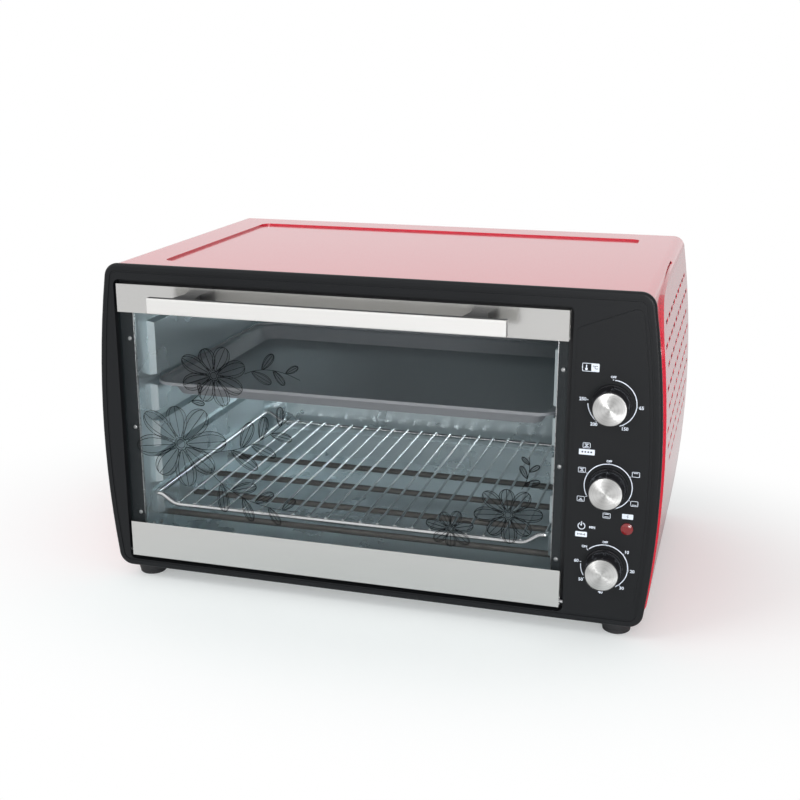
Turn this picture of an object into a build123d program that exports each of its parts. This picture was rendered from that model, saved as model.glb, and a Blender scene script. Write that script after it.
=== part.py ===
from build123d import *
import os
from math import acos, cos, degrees, pi, radians, sin, sqrt

# Countertop electric oven, in millimetres. +X is the oven's right as seen from the front, the door faces
# -Y and +Z is up. The origin is on the floor, in the middle of the oven's width and depth.

os.makedirs("parts", exist_ok=True)

# Casing
panel_width = 546.0  # front panel at the fullest part of its barrel sides
total_depth = 380.0  # face of the handle to the stand-off on the back
total_height = 325.0  # floor to the top edge of the front panel
panel_lift = 13.5  # floor to the bottom edge of the front panel
side_radius = 1000.0  # long arc of each barrel side
bulge_height = 156.0  # height at which the sides are fullest
corner_radius = 14.0
seam = 0.3  # gap left between two casing parts that meet
cover_sheet = 0.8
cover_top_inset = 2.0  # top and bottom of the cover, inside the front panel's outline
cover_side_swell = 1.0  # side face of the cover, outside the front panel's outline
recess_depth = 3.0  # pressed margin at the front of each side
cover_lip = 18.0  # lips turned in at the bottom
cover_back_lip = 9.0
top_field_margin = 34.0  # edge of the cover to the pressed field in its top
top_field_side = 41.0
top_field_depth = 2.0
recess_shoulder = 73.0  # top of the casing to the bend in the pressed margin
recess_horn = 190.0  # door face to the margin's rear tip
recess_horn_drop = 6.5
recess_horn_height = 2.0

# Side vents
vent_length = 18.0
vent_height = 4.0
vent_pitch = 28.5
vent_row_pitch = 19.3
vent_rows = 8
left_vent_rows = 3  # the left side has only the top rows
vent_top_margin = 37.9  # top of the casing to the middle of the highest row
vent_start = 52.0  # door face to the first slot
vent_back_margin = 17.0  # cover's back edge to the middle of the last slot
vent_low_start = 92.0  # the lowest row starts further back

# Front panel
panel_sheet = 1.5
panel_rim = 4.0  # depth of the rim that shows in front of the cover
rim_rounding = 3.0
panel_setback = 1.0  # the panel's face lies this far behind the door's
panel_lip = 10.5  # panel face to the end of the lip inside the cover
lip_sheet = 1.2
groove_inset = 6.0
groove_width = 2.2
groove_depth = 0.7
control_gap = 2.0  # edge of the front frame to the left edge of the raised control field
control_inset = 11.0
control_foot = 18.5  # bottom of the panel to the field
control_drop = 34.0  # top of the panel to the field's sloped top edge, at its left end
control_slope = 0.385
control_corner = 6.0
control_rise = 0.8

# Door
door_margin = 25.5  # left side of the front panel to the door
control_width = 85.5  # door to the right side of the front panel
door_foot = 12.5  # bottom edge of the front panel to the door
door_top_margin = 19.0
door_thickness = 8.0
door_swing = 85.0
door_side_gap = 3.5
door_bottom_gap = 5.0
door_top_gap = 4.0
opening_radius = 6.0
handle_reach = 33.0  # door face to the handle's face
top_trim_height = 27.5
bottom_trim_height = 36.5
trim_sheet = 0.6
trim_back_height = 32.0  # back wall of the bottom strip
glass_thickness = 4.0
glass_grip = 7.0  # how far the glass reaches into each strip
handle_margin = 49.0  # end of the door to the end of the bar
handle_height = 15.0
handle_thickness = 8.0
handle_drop = 5.0  # top edge of the door to the top of the bar
handle_rounding = 1.5
bracket_inset = 30.5  # end of the bar to the middle of a bracket
bracket_wide = 24.0
bracket_narrow = 15.0
bracket_height = 12.0

# Door hinge and stays
hinge_rise = 3.8  # hinge axis above the door's bottom edge
hinge_setback = 5.5  # hinge axis behind the door's face
pin_radius = 1.75
pin_reach = 6.8  # pin's length outside the door
pin_block = (22.0, 5.0, 7.0)
running_gap = 0.05
lug_thickness = 2.5
lug_foot = 6.0
lug_gap = 5.0  # end of the door to the hinge lug
stay_inner = 21.0
stay_outer = 26.0
stay_hook = 30.0
stay_sheet = 1.5
stay_inset = 5.0  # end of the door to the stay's outer face
stay_tail = 17.0  # angle by which the stay's tail hangs below the hinge axis

# Front frame and cavity
frame_setback = 11.0  # door face to the front frame
frame_sheet = 1.0
frame_inset = 5.0
bracket_flange = 14.0
shield_margin = 6.0  # cavity's floor and ceiling to the shield and the bracket's flange
shield_gap = 13.0  # shield to the fan's shroud
frame_split_gap = 5.0  # door to the seam between the front frame and the control bracket
mouth_side = 10.0  # side of the door to the cavity
mouth_margin = 8.0  # top and bottom edge of the door to the cavity
mouth_radius = 4.0
cavity_sheet = 0.8
rear_gap = 9.0  # rear wall of the cavity to the cover's back edge
wall_flange = 9.0
runner_rise = 49.2  # cavity's floor to the underside of the lowest runner groove
runner_pitch = 38.0
runner_gap = 9.0  # height of a groove
runner_depth = 7.5
pad_taper = 12.0
pad_front = 38.0  # door face to the front of the pressed pads
pad_back_margin = 14.0
pad_foot = 24.0  # cavity's floor to the lowest pad
pad_top_margin = 36.0
pad_least = 20.0  # least height of the highest pad

# Heaters
heater_radius = 3.25
heater_front = 64.0  # door face to the first heater
heater_back = 76.9  # last heater to the cavity's rear wall
heater_count = 4
heater_rise = 16.0  # cavity's floor to the lower heaters
heater_drop = 22.0  # cavity's ceiling to the upper heater
heater_bend = 16.0
heater_return = 40.0  # right wall to the upper heater's inner bends
heater_left_gap = 30.0
cap_outer_radius = 7.5
cap_length = 9.0
wall_hole_gap = 0.2
clip_width = 6.0
clip_sheet = 1.0
clip_spacing = 180.0
tube_sides = 6  # flats round a heater tube or a wire
neck_sides = 12
turned_sides = 32  # flats round a larger turned or moulded part

# Rack and tray
wire_radius = 2.5
thin_wire_radius = 1.25
wire_pitch = 17.6
wire_margin = 3.0  # least distance from the last thin wire to the frame's ramp
rack_front = 22.0
rack_back_gap = 6.0
rack_drop = 10.0
rack_ramp = 14.0
rack_end = 9.0
rack_tie = 70.0  # middle of the rack to each tie wire beneath it
runner_clearance = 0.3
rail_play = 2.0  # rail to the groove's bottom
tray_front = 36.0
tray_back_gap = 6.0
tray_depth = 14.0
tray_sheet = 0.8
tray_bead = 3.0
tray_bead_width = 1.6
tray_play = 2.5  # tray's edge to the groove's bottom
tray_rim = 9.0
tray_taper = 35.0
tray_corner = 22.0

# Controls
dial_inset = 45.5  # right side of the panel to the knobs
dial_pitch = 77.0
dial_middle = 148.7  # height of the middle knob
knob_base_radius = 17.5
knob_base_height = 2.0
knob_grip_radius = 16.2
knob_face_radius = 15.6
pointer_width = 1.6
knob_reach = 19.5  # door face to the knob's rim
knob_gap = 0.6
cap_radius = 14.6
cap_sheet = 1.2
shaft_radius = 3.0
shaft_flat = 1.2
shaft_fit = 0.02
shaft_start = 15.0
shaft_depth = 10.0  # shaft inside the control's body
bush_radius = 4.75
bush_front = 7.0
lamp_offset = 18.5  # knobs' axis to the lamp
lamp_rise = 0.4  # lamp above the middle between the two lower knobs
lamp_radius = 5.5
lamp_edge = 1.5
timer_half = 26.0
bell_radius = 22.0
bell_height = 7.0
bell_face_radius = 14.0

bulb_radius = 3.0
bulb_inset = 6.0  # right wall to the bulb's axis
bulb_rise = 12.0  # above the upper heater
bulb_setback = 110.0
bulb_length = 78.0
capillary_radius = 1.0

# Fan, in the compartment on the right of the cavity
fan_offset = 6.0  # behind the cavity's middle
fan_rise = 10.0  # above the cavity's middle
fan_radius = 50.0
fan_hub_radius = 9.0
fan_blades = 8
fan_blade_sheet = 1.0
fan_blade_depth = 12.0
fan_shaft_radius = 2.5
fan_wall_gap = 4.0
fan_slot_pitch = 13.0
fan_slot_margin = 15.0  # fan's edge to the middle of the last slotted pad
shroud_half = 62.0
shroud_depth = 22.0
shroud_sheet = 0.8
motor_half = 24.0
motor_length = 34.0

# Feet, base, back
foot_inset = 34.0  # side of the panel to the centre of a foot
foot_front = 25.0  # door face to the centre of a front foot
foot_back_inset = 35.0
foot_radius = 15.0
foot_sole_radius = 13.0
base_sheet = 0.8
base_overlap = 5.0  # how far the plate reaches under each lip
base_upstand = 8.0
base_vent_pitch = 50.0
base_vent_length = 50.0
base_vent_width = 6.0
back_panel_sheet = 0.8
back_standoff = 12.0  # how far the pressed stand-off stands proud of the back
standoff_inset = 47.5  # side of the door to the side of the stand-off
standoff_low = 70.0
standoff_top_margin = 55.0
standoff_taper = 18.0
back_vent_inset = 38.0  # right side of the panel to the vents beside the stand-off
back_vent_length = 40.0
back_vent_height = 4.0
back_vent_rows = 6
back_vent_pitch = 24.0
back_vent_low = 92.0
standoff_vent_length = 36.0
standoff_vent_pitch = 50.0
standoff_vent_row_pitch = 30.0
standoff_vent_margin = 50.0
gland_inset = 45.0
gland_z = 48.0
gland_bore = 4.0
gland_radius = 7.0
gland_flange = 10.5
terminal_gap = 28.0  # gland's axis to the near end of the terminal block
terminal_length = 50.0
terminal_back = 43.0

# Places worked out from the sizes above
door_face = -total_depth / 2 + handle_reach
panel_face = door_face + panel_setback
cover_front = panel_face + panel_rim + seam
cover_back = total_depth / 2 - back_standoff
frame_face = door_face + frame_setback
frame_back = frame_face + frame_sheet
door_bottom = panel_lift + door_foot
door_top = total_height - door_top_margin
door_left = -panel_width / 2 + door_margin
door_right = panel_width / 2 - control_width
door_centre = (door_left + door_right) / 2
door_width = door_right - door_left
frame_split = door_right + frame_split_gap
handle_length = door_width - 2 * handle_margin
mouth_half = door_width / 2 - mouth_side
mouth_low = door_bottom + mouth_margin
mouth_high = door_top - mouth_margin
cavity_rear = cover_back - rear_gap
hinge_y = door_face + hinge_setback
hinge_z = door_bottom + hinge_rise
lip_bottom = panel_lift + cover_top_inset
base_bottom = lip_bottom - base_sheet
knob_back = panel_face - control_rise - knob_gap
dial_x = panel_width / 2 - dial_inset
dial_heights = [dial_middle + dial_pitch, dial_middle, dial_middle - dial_pitch]
lamp_x = dial_x + lamp_offset
lamp_z = dial_middle - dial_pitch / 2 + lamp_rise
first_heater = door_face + heater_front
heater_pitch = (cavity_rear - heater_back - first_heater) / (heater_count - 1)
heater_places = [first_heater + heater_pitch * k for k in range(heater_count)]
lower_heater_height = mouth_low + heater_rise
upper_heater_height = mouth_high - heater_drop
runner_low = mouth_low + runner_rise
pad_high = mouth_high - pad_top_margin
runner_count = int((pad_high - pad_least - runner_gap - runner_low) // runner_pitch) + 1
runner_heights = [runner_low + runner_pitch * k for k in range(runner_count)]
rail_height = runner_heights[0] + runner_clearance + wire_radius
rail_x = mouth_half - rail_play - wire_radius
tray_flange_low = runner_heights[-1] + runner_clearance
fan_y = (frame_back + cavity_rear) / 2 + fan_offset
fan_height = (mouth_low + mouth_high) / 2 + fan_rise
gland_x = panel_width / 2 - gland_inset


def prism_y(sketch, front, back):
    """Extrude a sketch drawn in X and Z from one depth to another."""
    return extrude(Plane.XZ.offset(-back) * sketch, back - front)


def prism_x(sketch, left, right):
    """Extrude a sketch drawn in Y and Z from one side to another."""
    return extrude(Plane.YZ.offset(left) * sketch, right - left)


def prism_z(sketch, low, high):
    return extrude(Plane.XY.offset(low) * sketch, high - low)


def block(x, y, z):
    """A box between two limits along each axis."""
    size = (x[1] - x[0], y[1] - y[0], z[1] - z[0])
    return Pos((x[0] + x[1]) / 2, (y[0] + y[1]) / 2, (z[0] + z[1]) / 2) * Box(*size)


def rod_x(radius, left, right, y, z):
    return Pos((left + right) / 2, y, z) * Rot(0, 90, 0) * Cylinder(radius, right - left)


def rod_y(radius, x, front, back, z):
    return Pos(x, (front + back) / 2, z) * Rot(90, 0, 0) * Cylinder(radius, back - front)


def flats(radius, sides=turned_sides):
    """Section of a round part, with a number of flats."""
    return RegularPolygon(radius, sides, major_radius=False)


def tube_x(radius, left, right, y, z, sides=tube_sides):
    """Round bar along X drawn with a few flats."""
    return prism_x(Pos(y, z) * flats(radius, sides), left, right)


def drum_y(radius, x, front, back, z, sides=turned_sides):
    """Larger round part along Y drawn with flats."""
    return prism_y(Pos(x, z) * flats(radius, sides), front, back)


def tapered(base, radius, end_radius, height):
    """Tapered round part with flats, standing on a plane."""
    return loft([base * flats(radius), base.offset(height) * flats(end_radius)], ruled=True)


def frame_rectangle(left, right, low, high, radius):
    """Rounded rectangle between four limits."""
    shape = RectangleRounded(right - left, high - low, radius)
    return Pos((left + right) / 2, (low + high) / 2) * shape


def save(name, *pieces):
    """Write one node, as one solid or as a group of separate solids."""
    solids = [solid for piece in pieces for solid in piece.solids()]
    shape = solids[0] if len(solids) == 1 else Compound(children=solids)
    export_step(shape, f"parts/{name}.step")


def barrel(side=0.0, top=0.0, bottom=0.0):
    """The casing's outline, drawn in at its sides, its top and its bottom."""
    half = panel_width / 2 - side
    radius = side_radius - side
    low = panel_lift + bottom
    high = total_height - top
    low_x = half - radius + sqrt(radius**2 - (low - bulge_height) ** 2)
    high_x = half - radius + sqrt(radius**2 - (high - bulge_height) ** 2)
    outline = [
        Line((-low_x, low), (low_x, low)),
        ThreePointArc((low_x, low), (half, bulge_height), (high_x, high)),
        Line((high_x, high), (-high_x, high)),
        ThreePointArc((-high_x, high), (-half, bulge_height), (-low_x, low)),
    ]
    face = make_face(outline)
    return fillet(face.vertices(), max(corner_radius - max(side, top), 2.0))


def even(inset):
    return barrel(inset, inset, inset)


def side_x(z, side=0.0):
    """Half width of the casing at a height."""
    radius = side_radius - side
    return panel_width / 2 - side - radius + sqrt(radius**2 - (z - bulge_height) ** 2)


def mirrored(piece):
    return mirror(piece, Plane.YZ)


# Outer cover


def recess_outline(grow=0.0):
    """Side view of the pressed margin: a strip behind the front panel that sweeps back into a horn."""
    front = cover_front - 1
    strip = door_face + 28 + grow
    low = panel_lift - 1
    shoulder = total_height - recess_shoulder
    horn_y = door_face + recess_horn
    horn_z = total_height - recess_horn_drop - grow
    crown = total_height - recess_horn_drop + recess_horn_height + grow
    return make_face(
        [
            Line((front, low), (strip, low)),
            Line((strip, low), (strip, shoulder)),
            ThreePointArc((strip, shoulder), (strip + 11, shoulder + 42), (strip + 38, shoulder + 59)),
            ThreePointArc((strip + 38, shoulder + 59), (strip + 88, shoulder + 64), (horn_y, horn_z)),
            Line((horn_y, horn_z), (horn_y, crown)),
            Line((horn_y, crown), (front, crown)),
            Line((front, crown), (front, low)),
        ]
    )


def cover_body(inset):
    """Solid of the cover's outside, or of its inside when it is drawn in by the sheet."""
    front = cover_front - (1 if inset else 0)
    back = cover_back + (1 if inset else 0)
    level = cover_top_inset + inset
    full = prism_y(barrel(inset - cover_side_swell, level, level), front, back)
    waist = prism_y(barrel(inset + recess_depth - cover_side_swell, level, level), front, back)
    margin = prism_x(recess_outline(inset), -panel_width, panel_width)
    return full - (margin - waist)


def vent_slots(side, rows):
    """Rows of slots in one side, staggered by half a pitch."""
    slots = []
    for row in rows:
        height = total_height - vent_top_margin - vent_row_pitch * (vent_rows - 1 - row)
        start = door_face + vent_start + (vent_pitch / 2 if row % 2 else 0)
        if row == 0:
            start = door_face + vent_low_start
        for step in range(int((cover_back - vent_back_margin - start) // vent_pitch) + 1):
            y = start + vent_pitch * step
            slots.append(Pos(side * panel_width / 2, y, height) * Box(60, vent_length, vent_height))
    return slots


def outer_cover():
    shell = cover_body(0) - cover_body(cover_sheet)
    gap_half = side_x(lip_bottom) - cover_lip
    shell -= block((-gap_half, gap_half), (cover_front - 1, cover_back + 1), (0, lip_bottom + cover_sheet + 1))
    level = cover_top_inset + cover_sheet
    lip_outline = barrel(cover_sheet - cover_side_swell, level, level) - even(level + cover_back_lip)
    lip = prism_y(lip_outline, cover_back - cover_sheet, cover_back)
    lip -= block((-gap_half, gap_half), (cover_back - 2, cover_back + 1), (0, lip_bottom + level + cover_back_lip))
    shell += lip
    left = -side_x(total_height) + top_field_side
    right = side_x(total_height) - top_field_side
    field = frame_rectangle(left, right, cover_front + top_field_margin, cover_back - top_field_margin, 10)
    top = total_height - cover_top_inset
    shell += prism_z(field, top - top_field_depth - cover_sheet, top - cover_sheet)
    shell -= prism_z(offset(field, -cover_sheet), top - top_field_depth, top + 1)
    shell -= vent_slots(1, range(vent_rows))
    shell -= vent_slots(-1, range(vent_rows - left_vent_rows, vent_rows))
    return shell


# Front panel


def door_opening(grow=0.0):
    return frame_rectangle(
        door_left - door_side_gap - grow,
        door_right + door_side_gap + grow,
        door_bottom - door_bottom_gap - grow,
        door_top + door_top_gap + grow,
        opening_radius + grow,
    )


def control_field():
    left = frame_split + control_gap
    right = panel_width / 2
    low = panel_lift + control_foot
    shoulder = total_height - control_drop
    peak = shoulder + control_slope * (right - left)
    wedge = Polyline((left, low), (right, low), (right, peak), (left, shoulder), close=True)
    field = barrel(control_inset, -20, -20) & make_face(wedge)
    return fillet(field.vertices(), control_corner)


def front_panel():
    skin = prism_y(even(0), panel_face, panel_face + panel_rim)
    front_edges = skin.faces().sort_by(Axis.Y)[0].edges()
    skin = fillet(front_edges, rim_rounding)
    skin -= prism_y(even(panel_sheet), panel_face + panel_sheet, panel_face + panel_rim + 1)
    lip_inset = cover_top_inset + cover_sheet + 0.4
    lip_outline = even(lip_inset) - even(lip_inset + lip_sheet)
    skin += prism_y(lip_outline, panel_face + panel_sheet, panel_face + panel_lip)
    groove = even(groove_inset) - even(groove_inset + groove_width)
    skin -= prism_y(groove, panel_face - 1, panel_face + groove_depth)
    skin += prism_y(control_field(), panel_face - control_rise, panel_face + panel_sheet)
    skin += prism_y(door_opening(lip_sheet), panel_face + 0.5, frame_face)
    skin -= prism_y(door_opening(), panel_face - 2, frame_face + 1)
    for z in dial_heights:
        skin -= drum_y(bush_radius + 0.5, dial_x, panel_face - 2, panel_face + 5, z, neck_sides)
    skin -= drum_y(lamp_radius + 0.1, lamp_x, panel_face - 2, panel_face + 5, lamp_z)
    for end in (door_left, door_right):
        reach = door_side_gap + lip_sheet + 1
        skin -= rod_x(pin_radius + 0.6, end - reach, end + reach, hinge_y, hinge_z)
    return skin


# Front frame and control bracket


def stay_places():
    """Left and right faces of each door stay."""
    outer = door_width / 2 - stay_inset
    left = (door_centre - outer, door_centre - outer + stay_sheet)
    right = (door_centre + outer - stay_sheet, door_centre + outer)
    return [left, right]


def stay_slot(place):
    """Slot through which a stay passes the frame and the wall's flange."""
    front = frame_setback - hinge_setback
    back = front + frame_sheet + cavity_sheet
    low = hinge_z + sqrt(stay_inner**2 - back**2) - 0.8
    high = hinge_z + sqrt(stay_outer**2 - front**2) + 0.8
    return block((place[0] - 0.8, place[1] + 0.8), (frame_face - 1, frame_back + cavity_sheet + 1), (low, high))


def mouth():
    return frame_rectangle(door_centre - mouth_half, door_centre + mouth_half, mouth_low, mouth_high, mouth_radius)


def front_frame():
    plate = prism_y(even(frame_inset) - mouth(), frame_face, frame_back)
    plate -= block((frame_split, panel_width), (frame_face - 1, frame_back + 1), (0, total_height))
    for place in stay_places():
        plate -= stay_slot(place)
    return plate


def control_bracket():
    plate = prism_y(even(frame_inset), frame_face, frame_back)
    edge = frame_split + 0.5
    plate -= block((-panel_width, edge), (frame_face - 1, frame_back + 1), (0, total_height))
    limits = (mouth_low + shield_margin, mouth_high - shield_margin)
    plate += block((edge, edge + frame_sheet), (frame_face, frame_face + bracket_flange), limits)
    for z in dial_heights:
        plate -= drum_y(bush_radius + 0.1, dial_x, frame_face - 1, frame_back + 1, z, neck_sides)
    plate -= drum_y(lamp_radius - 0.6, lamp_x, frame_face - 1, frame_back + 1, lamp_z, neck_sides)
    return plate


def hinge_lugs():
    """Lugs with a round bore for each hinge pin, standing on the front frame."""
    lugs = []
    front = panel_face + panel_sheet + seam
    height = (hinge_z - 5, hinge_z + 7)
    for side in (-1, 1):
        inner = door_centre + side * (door_width / 2 + lug_gap)
        ear = block(sorted((inner, inner + side * lug_thickness)), (front, frame_face), height)
        foot = block(sorted((inner, inner + side * lug_foot)), (frame_face - 1.5, frame_face), height)
        lugs.append(ear + foot - rod_x(pin_radius + running_gap, inner - 9, inner + 9, hinge_y, hinge_z))
    return lugs


# Cavity


def pad_limits():
    """Lower and upper edge of each raised pad: the grooves between the pads are the runners."""
    lows = [mouth_low + pad_foot] + [z + runner_gap for z in runner_heights]
    highs = runner_heights + [pad_high]
    return list(zip(lows, highs))


def side_pads(inner_face):
    """Tapered pads on the right wall, rising to the left from the given face."""
    pads = []
    front = door_face + pad_front
    back = cavity_rear - pad_back_margin
    for low, high in pad_limits():
        sketch = Rectangle(back - front, high - low)
        middle = (inner_face, (front + back) / 2, (low + high) / 2)
        base = Plane(middle, x_dir=(0, 1, 0), z_dir=(-1, 0, 0))
        pads.append(extrude(base * sketch, runner_depth, taper=pad_taper))
    return pads


def cavity_side_wall():
    """The right wall, without the fan's slots: a flanged sheet with pads pressed into the cavity."""
    face = door_centre + mouth_half
    sheet = block((face, face + cavity_sheet), (frame_back, cavity_rear), (mouth_low, mouth_high))
    flange_back = frame_back + cavity_sheet
    sheet += block((face, face + wall_flange), (frame_back, flange_back), (mouth_low + 4, mouth_high - 4))
    for pad in side_pads(face):
        sheet += pad
    for pad in side_pads(face + cavity_sheet):
        sheet -= pad
    for y in heater_places:
        sheet -= tube_x(heater_radius + wall_hole_gap, face - 1, face + 2, y, lower_heater_height)
    sheet -= stay_slot(stay_places()[1])
    return sheet


def cavity_left_wall():
    wall = cavity_side_wall()
    wall = Pos(2 * door_centre, 0, 0) * mirrored(wall)
    return wall


def probe_place():
    return (door_centre + mouth_half - bulb_inset, upper_heater_height + bulb_rise)


def cavity_right_wall():
    wall = cavity_side_wall()
    face = door_centre + mouth_half
    for y in (heater_places[0], heater_places[-1]):
        wall -= tube_x(heater_radius + wall_hole_gap, face - 1, face + 2, y, upper_heater_height)
    for low, high in pad_limits():
        z = (low + high) / 2
        if abs(z - fan_height) > fan_radius - fan_slot_margin:
            continue
        half = sqrt(fan_radius**2 - (z - fan_height) ** 2)
        steps = int(half // fan_slot_pitch)
        for k in range(-steps, steps + 1):
            y = fan_y + fan_slot_pitch * k
            wall -= block((face - 10, face + 2), (y - 2, y + 2), (z - 9, z + 9))
    x, z = probe_place()
    wall -= tube_x(capillary_radius + 0.6, face - 1, face + 2, door_face + bulb_setback, z)
    return wall


def pan(x, y, level, rise, margin):
    """A flat sheet whose middle is pressed up, or down for a negative rise."""
    centre = Pos((x[0] + x[1]) / 2, (y[0] + y[1]) / 2)
    outer = centre * Rectangle(x[1] - x[0], y[1] - y[0])
    field = centre * Rectangle(x[1] - x[0] - 2 * margin, y[1] - y[0] - 2 * margin)
    inner = offset(field, -cavity_sheet, kind=Kind.INTERSECTION)
    body = prism_z(outer, level, level + cavity_sheet)
    if rise > 0:
        body += prism_z(field, level, level + rise + cavity_sheet)
        return body - prism_z(inner, level - 1, level + rise)
    body += prism_z(field, level + rise, level + cavity_sheet)
    return body - prism_z(inner, level + rise + cavity_sheet, level + cavity_sheet + 1)


def cavity_span():
    half = mouth_half + cavity_sheet
    return (door_centre - half, door_centre + half)


def cavity_top():
    return pan(cavity_span(), (frame_back, cavity_rear), mouth_high, 3, 40)


def cavity_floor():
    return pan(cavity_span(), (frame_back, cavity_rear), mouth_low - cavity_sheet, -3, 30)


def cavity_rear_wall():
    x = cavity_span()
    low = mouth_low - cavity_sheet
    high = mouth_high + cavity_sheet
    wall = block(x, (cavity_rear, cavity_rear + cavity_sheet), (low, high))
    wall += block((x[0] + 30, x[1] - 30), (cavity_rear, cavity_rear + 4 + cavity_sheet), (low + 30, high - 30))
    return wall - block((x[0] + 31, x[1] - 31), (cavity_rear - 1, cavity_rear + 4), (low + 31, high - 31))


# Heaters


def lower_heaters():
    half = mouth_half + cavity_sheet
    left = door_centre - half
    right = door_centre + half
    return [tube_x(heater_radius, left, right, y, lower_heater_height) for y in heater_places]


def heater_caps():
    """Ceramic caps on the tubes' ends, against the outer side of each side wall."""
    half = mouth_half + cavity_sheet
    left = (door_centre - half - cap_length, door_centre - half)
    right = (door_centre + half, door_centre + half + cap_length)
    caps = [tube_x(cap_outer_radius, *left, y, lower_heater_height) for y in heater_places]
    caps += [tube_x(cap_outer_radius, *right, y, lower_heater_height) for y in heater_places]
    ends = (heater_places[0], heater_places[-1])
    caps += [tube_x(cap_outer_radius, *right, y, upper_heater_height) for y in ends]
    return caps


def upper_heater():
    """One M-shaped tube: both ends leave through the right wall."""
    right = door_centre + mouth_half + cavity_sheet
    near_right = door_centre + mouth_half - heater_return
    near_left = door_centre - mouth_half + heater_left_gap
    a, b, c, d = heater_places
    points = [
        (right, a),
        (near_left, a),
        (near_left, b),
        (near_right, b),
        (near_right, c),
        (near_left, c),
        (near_left, d),
        (right, d),
    ]
    route = FilletPolyline(*[(x, y, upper_heater_height) for x, y in points], radius=heater_bend)
    section = Plane(route @ 0, x_dir=(0, 0, 1), z_dir=route % 0) * RegularPolygon(heater_radius, tube_sides)
    return sweep(section, route)


def heater_clips():
    """Hooks that hang the upper heater from the ceiling."""
    clips = []
    low = upper_heater_height - heater_radius - clip_sheet
    for x in (door_centre - clip_spacing / 2, door_centre + clip_spacing / 2):
        width = (x - clip_width / 2, x + clip_width / 2)
        for y in heater_places[1:3]:
            back = y + heater_radius
            hook = block(width, (back, back + clip_sheet), (low, mouth_high))
            hook += block(width, (y - heater_radius, back), (low, low + clip_sheet))
            hook += block(width, (back, back + 9), (mouth_high - clip_sheet, mouth_high))
            clips.append(hook)
    return clips


# Rack and tray


def frame_wire(y):
    """Cross rail of the rack's frame, joggled down between its ends."""
    level = rail_height - rack_drop
    inner = rail_x - rack_end
    low_half = inner - rack_ramp
    points = [
        (-rail_x, rail_height),
        (-inner, rail_height),
        (-low_half, level),
        (low_half, level),
        (inner, rail_height),
        (rail_x, rail_height),
    ]
    route = Polyline(*[(door_centre + x, y, z) for x, z in points])
    section = Plane(route @ 0, x_dir=(0, 0, 1), z_dir=(1, 0, 0)) * flats(wire_radius, tube_sides)
    return sweep(section, route, transition=Transition.RIGHT)


def wire_rack():
    front = door_face + rack_front + wire_radius
    back = cavity_rear - rack_back_gap - wire_radius
    rack = frame_wire(front) + frame_wire(back)
    for side in (-1, 1):
        x = door_centre + side * (rail_x - wire_radius)
        rack += drum_y(wire_radius, x, front, back, rail_height, tube_sides)
    level = rail_height - rack_drop + wire_radius
    room = rail_x - rack_end - rack_ramp - wire_margin
    wire_count = int(2 * room // wire_pitch) + 1
    half = wire_pitch * (wire_count - 1) / 2
    for k in range(wire_count):
        x = door_centre - half + wire_pitch * k
        rack += drum_y(thin_wire_radius, x, front - wire_radius / 2, back + wire_radius / 2, level, tube_sides)
    middle = (front + back) / 2
    height = level - 1.5 * thin_wire_radius
    for y in (middle - rack_tie, middle + rack_tie):
        rack += tube_x(thin_wire_radius, door_centre - half, door_centre + half, y, height)
    return rack


def tray_solid(half_x, front, back, low, high):
    """Tapered pan, from its rim down to its floor."""
    sketch = RectangleRounded(2 * half_x, back - front, tray_corner)
    base = Plane((door_centre, (front + back) / 2, high), x_dir=(1, 0, 0), z_dir=(0, 0, -1))
    return extrude(base * sketch, high - low, taper=tray_taper)


def baking_tray():
    front = door_face + tray_front
    back = cavity_rear - tray_back_gap
    half = mouth_half - tray_play
    rim_low = tray_flange_low
    rim_high = rim_low + tray_sheet
    flange = Pos(door_centre, (front + back) / 2) * RectangleRounded(2 * half, back - front, tray_corner)
    tray = prism_z(flange, rim_low, rim_high)
    tray += prism_z(flange - offset(flange, -tray_bead_width), rim_low, rim_low + tray_bead)
    pan_half = half - tray_rim
    floor = rim_high - tray_depth
    tray += tray_solid(pan_half, front + tray_rim, back - tray_rim, floor, rim_high)
    inside = tray_rim + tray_sheet
    tray -= tray_solid(half - inside, front + inside, back - inside, floor + tray_sheet, rim_high)
    return tray


# Door


def door_glass():
    low = door_bottom + bottom_trim_height - glass_grip
    high = door_top - top_trim_height + glass_grip
    front = door_face + trim_sheet
    return block((door_left + 0.5, door_right - 0.5), (front, front + glass_thickness), (low, high))


def channel(low, high, closed, back_low, back_high):
    """Folded strip: a face, a closed edge and a shorter back wall."""
    x = (door_left, door_right)
    back = door_face + door_thickness
    face = block(x, (door_face, door_face + trim_sheet), (low, high))
    edge = block(x, (door_face, back), closed)
    rear = block(x, (back - trim_sheet, back), (back_low, back_high))
    return face + edge + rear


def bracket_places():
    return [door_centre + side * (handle_length / 2 - bracket_inset) for side in (-1, 1)]


def door_top_trim():
    low = door_top - top_trim_height
    return channel(low, door_top, (door_top - trim_sheet, door_top), low, door_top)


def door_bottom_trim():
    high = door_bottom + bottom_trim_height
    back_high = door_bottom + trim_back_height
    return channel(door_bottom, high, (door_bottom, door_bottom + trim_sheet), door_bottom, back_high)


def seal_strips():
    """Silicone strips that hold the glass against the face of each steel strip."""
    front = door_face + trim_sheet + glass_thickness
    back = door_face + door_thickness - trim_sheet
    x = (door_left + 4, door_right - 4)
    low = door_bottom + bottom_trim_height - glass_grip
    bottom = block(x, (front, back), (low, door_bottom + trim_back_height))
    high = door_top - top_trim_height
    top = block(x, (front, back), (high, high + glass_grip))
    return [bottom, top]


def handle_bar():
    high = door_top - handle_drop
    front = door_face - handle_reach
    x = (door_left + handle_margin, door_right - handle_margin)
    bar = block(x, (front, front + handle_thickness), (high - handle_height, high))
    return fillet(bar.edges().filter_by(Axis.X), handle_rounding)


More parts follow.
